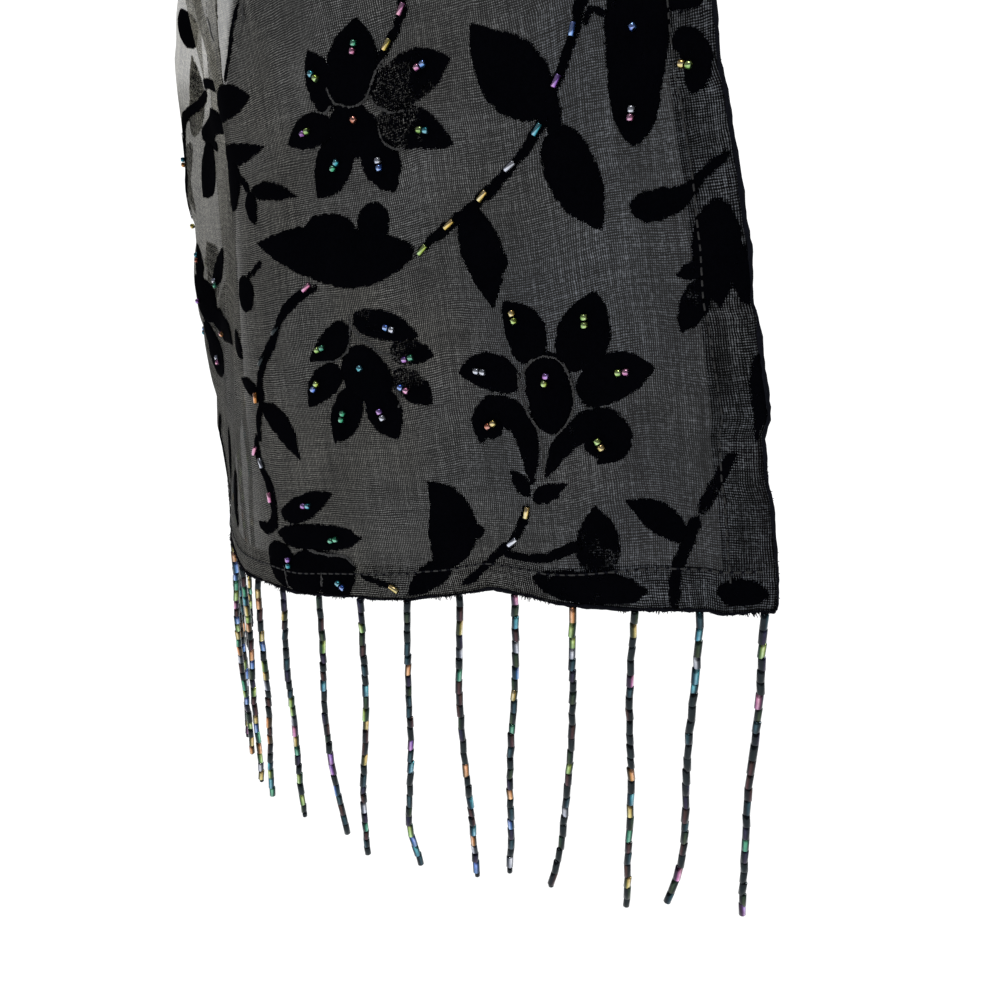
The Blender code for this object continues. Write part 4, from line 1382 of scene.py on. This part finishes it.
def strand_path(root, strand, phase):
    """Points down one strand: plumb but for its lean, a turned end and a slight sway."""
    stride = strand["length"] / STRAND_JOINTS
    points = [np.array(root)]
    offsets = []
    for k in range(STRAND_JOINTS + 1):
        t = k / STRAND_JOINTS
        turned = max(0.0, (t - 1 + HOOK_SHARE) / HOOK_SHARE)
        swing = SWAY * min(1.0, t / SWAY_START)
        sway = swing * math.sin(2 * math.pi * SWAY_TURNS * t + phase)
        bow = swing * math.sin(2 * math.pi * BOW_TURNS * t + 2 * phase)
        offsets.append((strand["lean"] * t**2 + strand["hook"] * turned**1.5 + sway, bow))
    for before, after in zip(offsets, offsets[1:]):
        sideways = after[0] - before[0]
        deep = after[1] - before[1]
        drop = math.sqrt(stride**2 - sideways**2 - deep**2)
        points.append(points[-1] + np.array([sideways, deep, -drop]))
    return np.array(points)


def turn_to(direction):
    """Turn that points the Z axis along a direction."""
    helper = np.array((0.0, 1.0, 0.0)) if abs(direction[1]) < 0.9 else np.array((1.0, 0.0, 0.0))
    side = np.cross(helper, direction)
    side /= np.linalg.norm(side)
    return np.stack([side, np.cross(direction, side), direction], 1)


def bead_strand(path, chance, mix, bead, tip, thread, long_bead, blocks, colours):
    """Threads long beads along a path, with a dark knot at its end."""
    reach = np.concatenate([[0], np.cumsum(np.linalg.norm(np.diff(path, axis=0), axis=1))])
    points, faces = bead
    names = [row["colour"] for row in FRINGE_MIX]
    at = 0.0004
    crook = np.zeros(3)
    while at < reach[-1] - 0.0030:
        size = chance.uniform(0.84, 1.30)
        long = long_bead * size
        start = through(reach, path, at)
        end = through(reach, path, at + long)
        crook = crook * 0.5 + np.array([chance.uniform(-1, 1), chance.uniform(-1, 1), 0]) * 0.00014
        direction = end - start + np.array([chance.uniform(-1, 1), chance.uniform(-1, 1), 0]) * 0.00042
        direction /= np.linalg.norm(direction)
        slim = chance.uniform(0.90, 1.04)
        scaled = points * np.array((slim, slim, size))
        blocks.append((scaled @ turn_to(direction).T + (start + end) / 2 + crook, faces))
        coating = chance.choices(names, mix)[0]
        fade = 1.0 + 0.3 * np.cos(points[:, 2:] * 900 + chance.uniform(-1.5, 1.5))
        # Painted highlight on the side that faces the camera, at -Y, turned at random by up to 0.9 radians
        lit_side = -math.pi / 2 + chance.uniform(-0.9, 0.9)
        colours.append(np.minimum(fade * coating_with_painted_glint(points, coating, lit_side, 22.0), 1))
        at += long * BEAD_SPACING
    for a, b in zip(path, path[1:]):
        long = np.linalg.norm(b - a)
        scaled = thread[0] * np.array((1, 1, long))
        blocks.append((scaled @ turn_to((b - a) / long).T + (a + b) / 2, thread[1]))
        colours.append(np.tile((0.006, 0.006, 0.007), (len(thread[0]), 1)))
    end = path[-1] - (path[-1] - path[-2]) / np.linalg.norm(path[-1] - path[-2]) * 0.0012
    blocks.append((tip[0] + end, tip[1]))
    colours.append(coating_with_painted_glint(tip[0], "dark", 0.0, 1.0))


class SHAWL_OT_fringe(bpy.types.Operator):
    """Hang the bead strands from both end hems"""
    bl_idname = "shawl.fringe"
    bl_label = "Bead fringe"

    def execute(self, context):
        sizes = context.scene.shawl_sizes
        radius = sizes.long_bead_width / 2
        bead = bead_template(radius, sizes.long_bead, 14, radius * 0.18, 1, holed=False)
        tip = bead_template(radius * 0.8, radius * 2.2, 8, radius * 0.4, 1)
        line = bmesh.new()
        bmesh.ops.create_cone(line, cap_ends=True, segments=5, radius1=THREAD_RADIUS, radius2=THREAD_RADIUS,
                              depth=1.0)
        thread = arrays_of(line)
        settings = {row["strand"]: row for row in OWN_STRANDS}
        middles = np.linspace(FIRST_STRAND, WIDTH - FIRST_STRAND, STRANDS)
        for name, node, up, own in (("fringe_front", "front_fringe", 0.0, settings),
                                    ("fringe_back", "back_fringe", LENGTH, {})):
            blocks = []
            colours = []
            for number, across in enumerate(middles):
                root, _ = cloth().at(across, up, -0.0002)
                chance = random.Random(SEEDS[name] * 100 + number)
                left = smooth(8, 11, number) if name == "fringe_front" else 0.3
                mix = [row["front"] * (1 - left) + row["left"] * left for row in FRINGE_MIX]
                strand = own.get(number, PLUMB_STRAND)
                strand = dict(strand, length=strand["length"] + STRAND_EXTRA)
                path = strand_path(root, strand, STRAND_PHASE * number)
                fine = np.linspace(0, STRAND_JOINTS, STRAND_JOINTS * 3 + 1)
                path = through(np.arange(STRAND_JOINTS + 1), path, fine)
                bead_strand(path, chance, mix, bead, tip, thread, sizes.long_bead, blocks, colours)
            mesh = joined_mesh(name, blocks)
            add_coating(mesh, np.concatenate(colours))
            piece = place_object(name, mesh, bpy.data.materials["coated_glass"])
            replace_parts(piece, node)
        return {"FINISHED"}


class SHAWL_OT_declare(bpy.types.Operator):
    """Ends the build; it states nothing about the cut of the sheets or what is sewn on them"""
    bl_idname = "shawl.declare"
    bl_label = "Declare the sheets"

    def execute(self, context):
        return {"FINISHED"}


def lamp(name, kind, place, target, energy, size, colour):
    """Adds a light that is turned towards a target."""
    light = bpy.data.lights.new(name, kind)
    light.energy = energy
    light.color = colour
    if kind == "AREA":
        light.shape = "RECTANGLE"
        light.size, light.size_y = size
    else:
        light.angle = size
    aim = np.array(target, float) - np.array(place, float)
    turn = turn_to(-aim / np.linalg.norm(aim))
    link(name, light).matrix_world = [*([*turn[k], place[k]] for k in range(3)), [0, 0, 0, 1]]


class SHAWL_OT_studio(bpy.types.Operator):
    """Set the pale floor, the soft lights and the camera"""
    bl_idname = "shawl.studio"
    bl_label = "Studio"

    def execute(self, context):
        scene = context.scene
        ground = bmesh.new()
        bmesh.ops.create_grid(ground, x_segments=2, y_segments=2, size=FLOOR_HALF)
        bmesh.ops.translate(ground, vec=FLOOR_PLACE, verts=ground.verts[:])
        data = bpy.data.meshes.new("studio_floor")
        ground.to_mesh(data)
        ground.free()
        look = Look("studio_paper")
        fleck = look.noise(look.place(), 3.0, 2.0)
        paper = look.tinted(PAPER, 0.98 + fleck * 0.04)
        data.materials.append(look.finish(Base_Color=paper, Roughness=1.0, Specular_IOR_Level=0.0))
        link("studio_floor", data)
        world = bpy.data.worlds.new("studio")
        world.use_nodes = True
        sky = Nodes(world.node_tree)
        glossy = sky.node("ShaderNodeLightPath", output="Is Glossy Ray")
        seen = sky.node("ShaderNodeLightPath", output="Is Camera Ray")
        around = sky.mix(glossy, SOFT_FILL, SEEN_IN_GLASS)
        sky.put(sky.tree.nodes["Background"].inputs["Color"], sky.mix(seen, around, BACKDROP))
        scene.world = world
        for row in LAMPS:
            lamp(**row)
        camera = bpy.data.cameras.new("camera")
        camera.lens = CAMERA_LENS
        camera.sensor_width = 36.0
        stand = link("camera", camera)
        stand.location = CAMERA_PLACE
        stand.rotation_euler = (math.radians(CAMERA_TILT), 0, 0)
        scene.camera = stand
        scene.view_settings.view_transform = "Standard"
        return {"FINISHED"}


class SHAWL_PT_panel(bpy.types.Panel):
    """Sizes, colours and pieces of the shawl."""
    bl_idname = "SHAWL_PT_panel"
    bl_label = "Shawl"
    bl_space_type = "VIEW_3D"
    bl_region_type = "UI"
    bl_category = "Shawl"

    def draw(self, context):
        for group in (context.scene.shawl_sizes, context.scene.shawl_colours):
            box = self.layout.box()
            for key in group.__annotations__:
                box.prop(group, key)
        for step in STEPS:
            self.layout.operator(step.bl_idname)


STEPS = (SHAWL_OT_studio, SHAWL_OT_cloth, SHAWL_OT_velvet, SHAWL_OT_beads, SHAWL_OT_stitches, SHAWL_OT_edges,
         SHAWL_OT_fringe, SHAWL_OT_declare)
CLASSES = (ShawlSizes, ShawlColours, *STEPS, SHAWL_PT_panel)


def register():
    for one in CLASSES:
        bpy.utils.register_class(one)
    bpy.types.Scene.shawl_sizes = bpy.props.PointerProperty(type=ShawlSizes)
    bpy.types.Scene.shawl_colours = bpy.props.PointerProperty(type=ShawlColours)


def unregister():
    del bpy.types.Scene.shawl_colours
    del bpy.types.Scene.shawl_sizes
    for one in reversed(CLASSES):
        bpy.utils.unregister_class(one)


def main():
    register()
    bpy.ops.shawl.studio()
    bpy.ops.shawl.cloth()
    bpy.ops.shawl.velvet()
    bpy.ops.shawl.beads()
    bpy.ops.shawl.stitches()
    bpy.ops.shawl.edges()
    bpy.ops.shawl.fringe()
    bpy.ops.shawl.declare()
    bpy.context.view_layer.update()


if __name__ == "__main__":
    main()
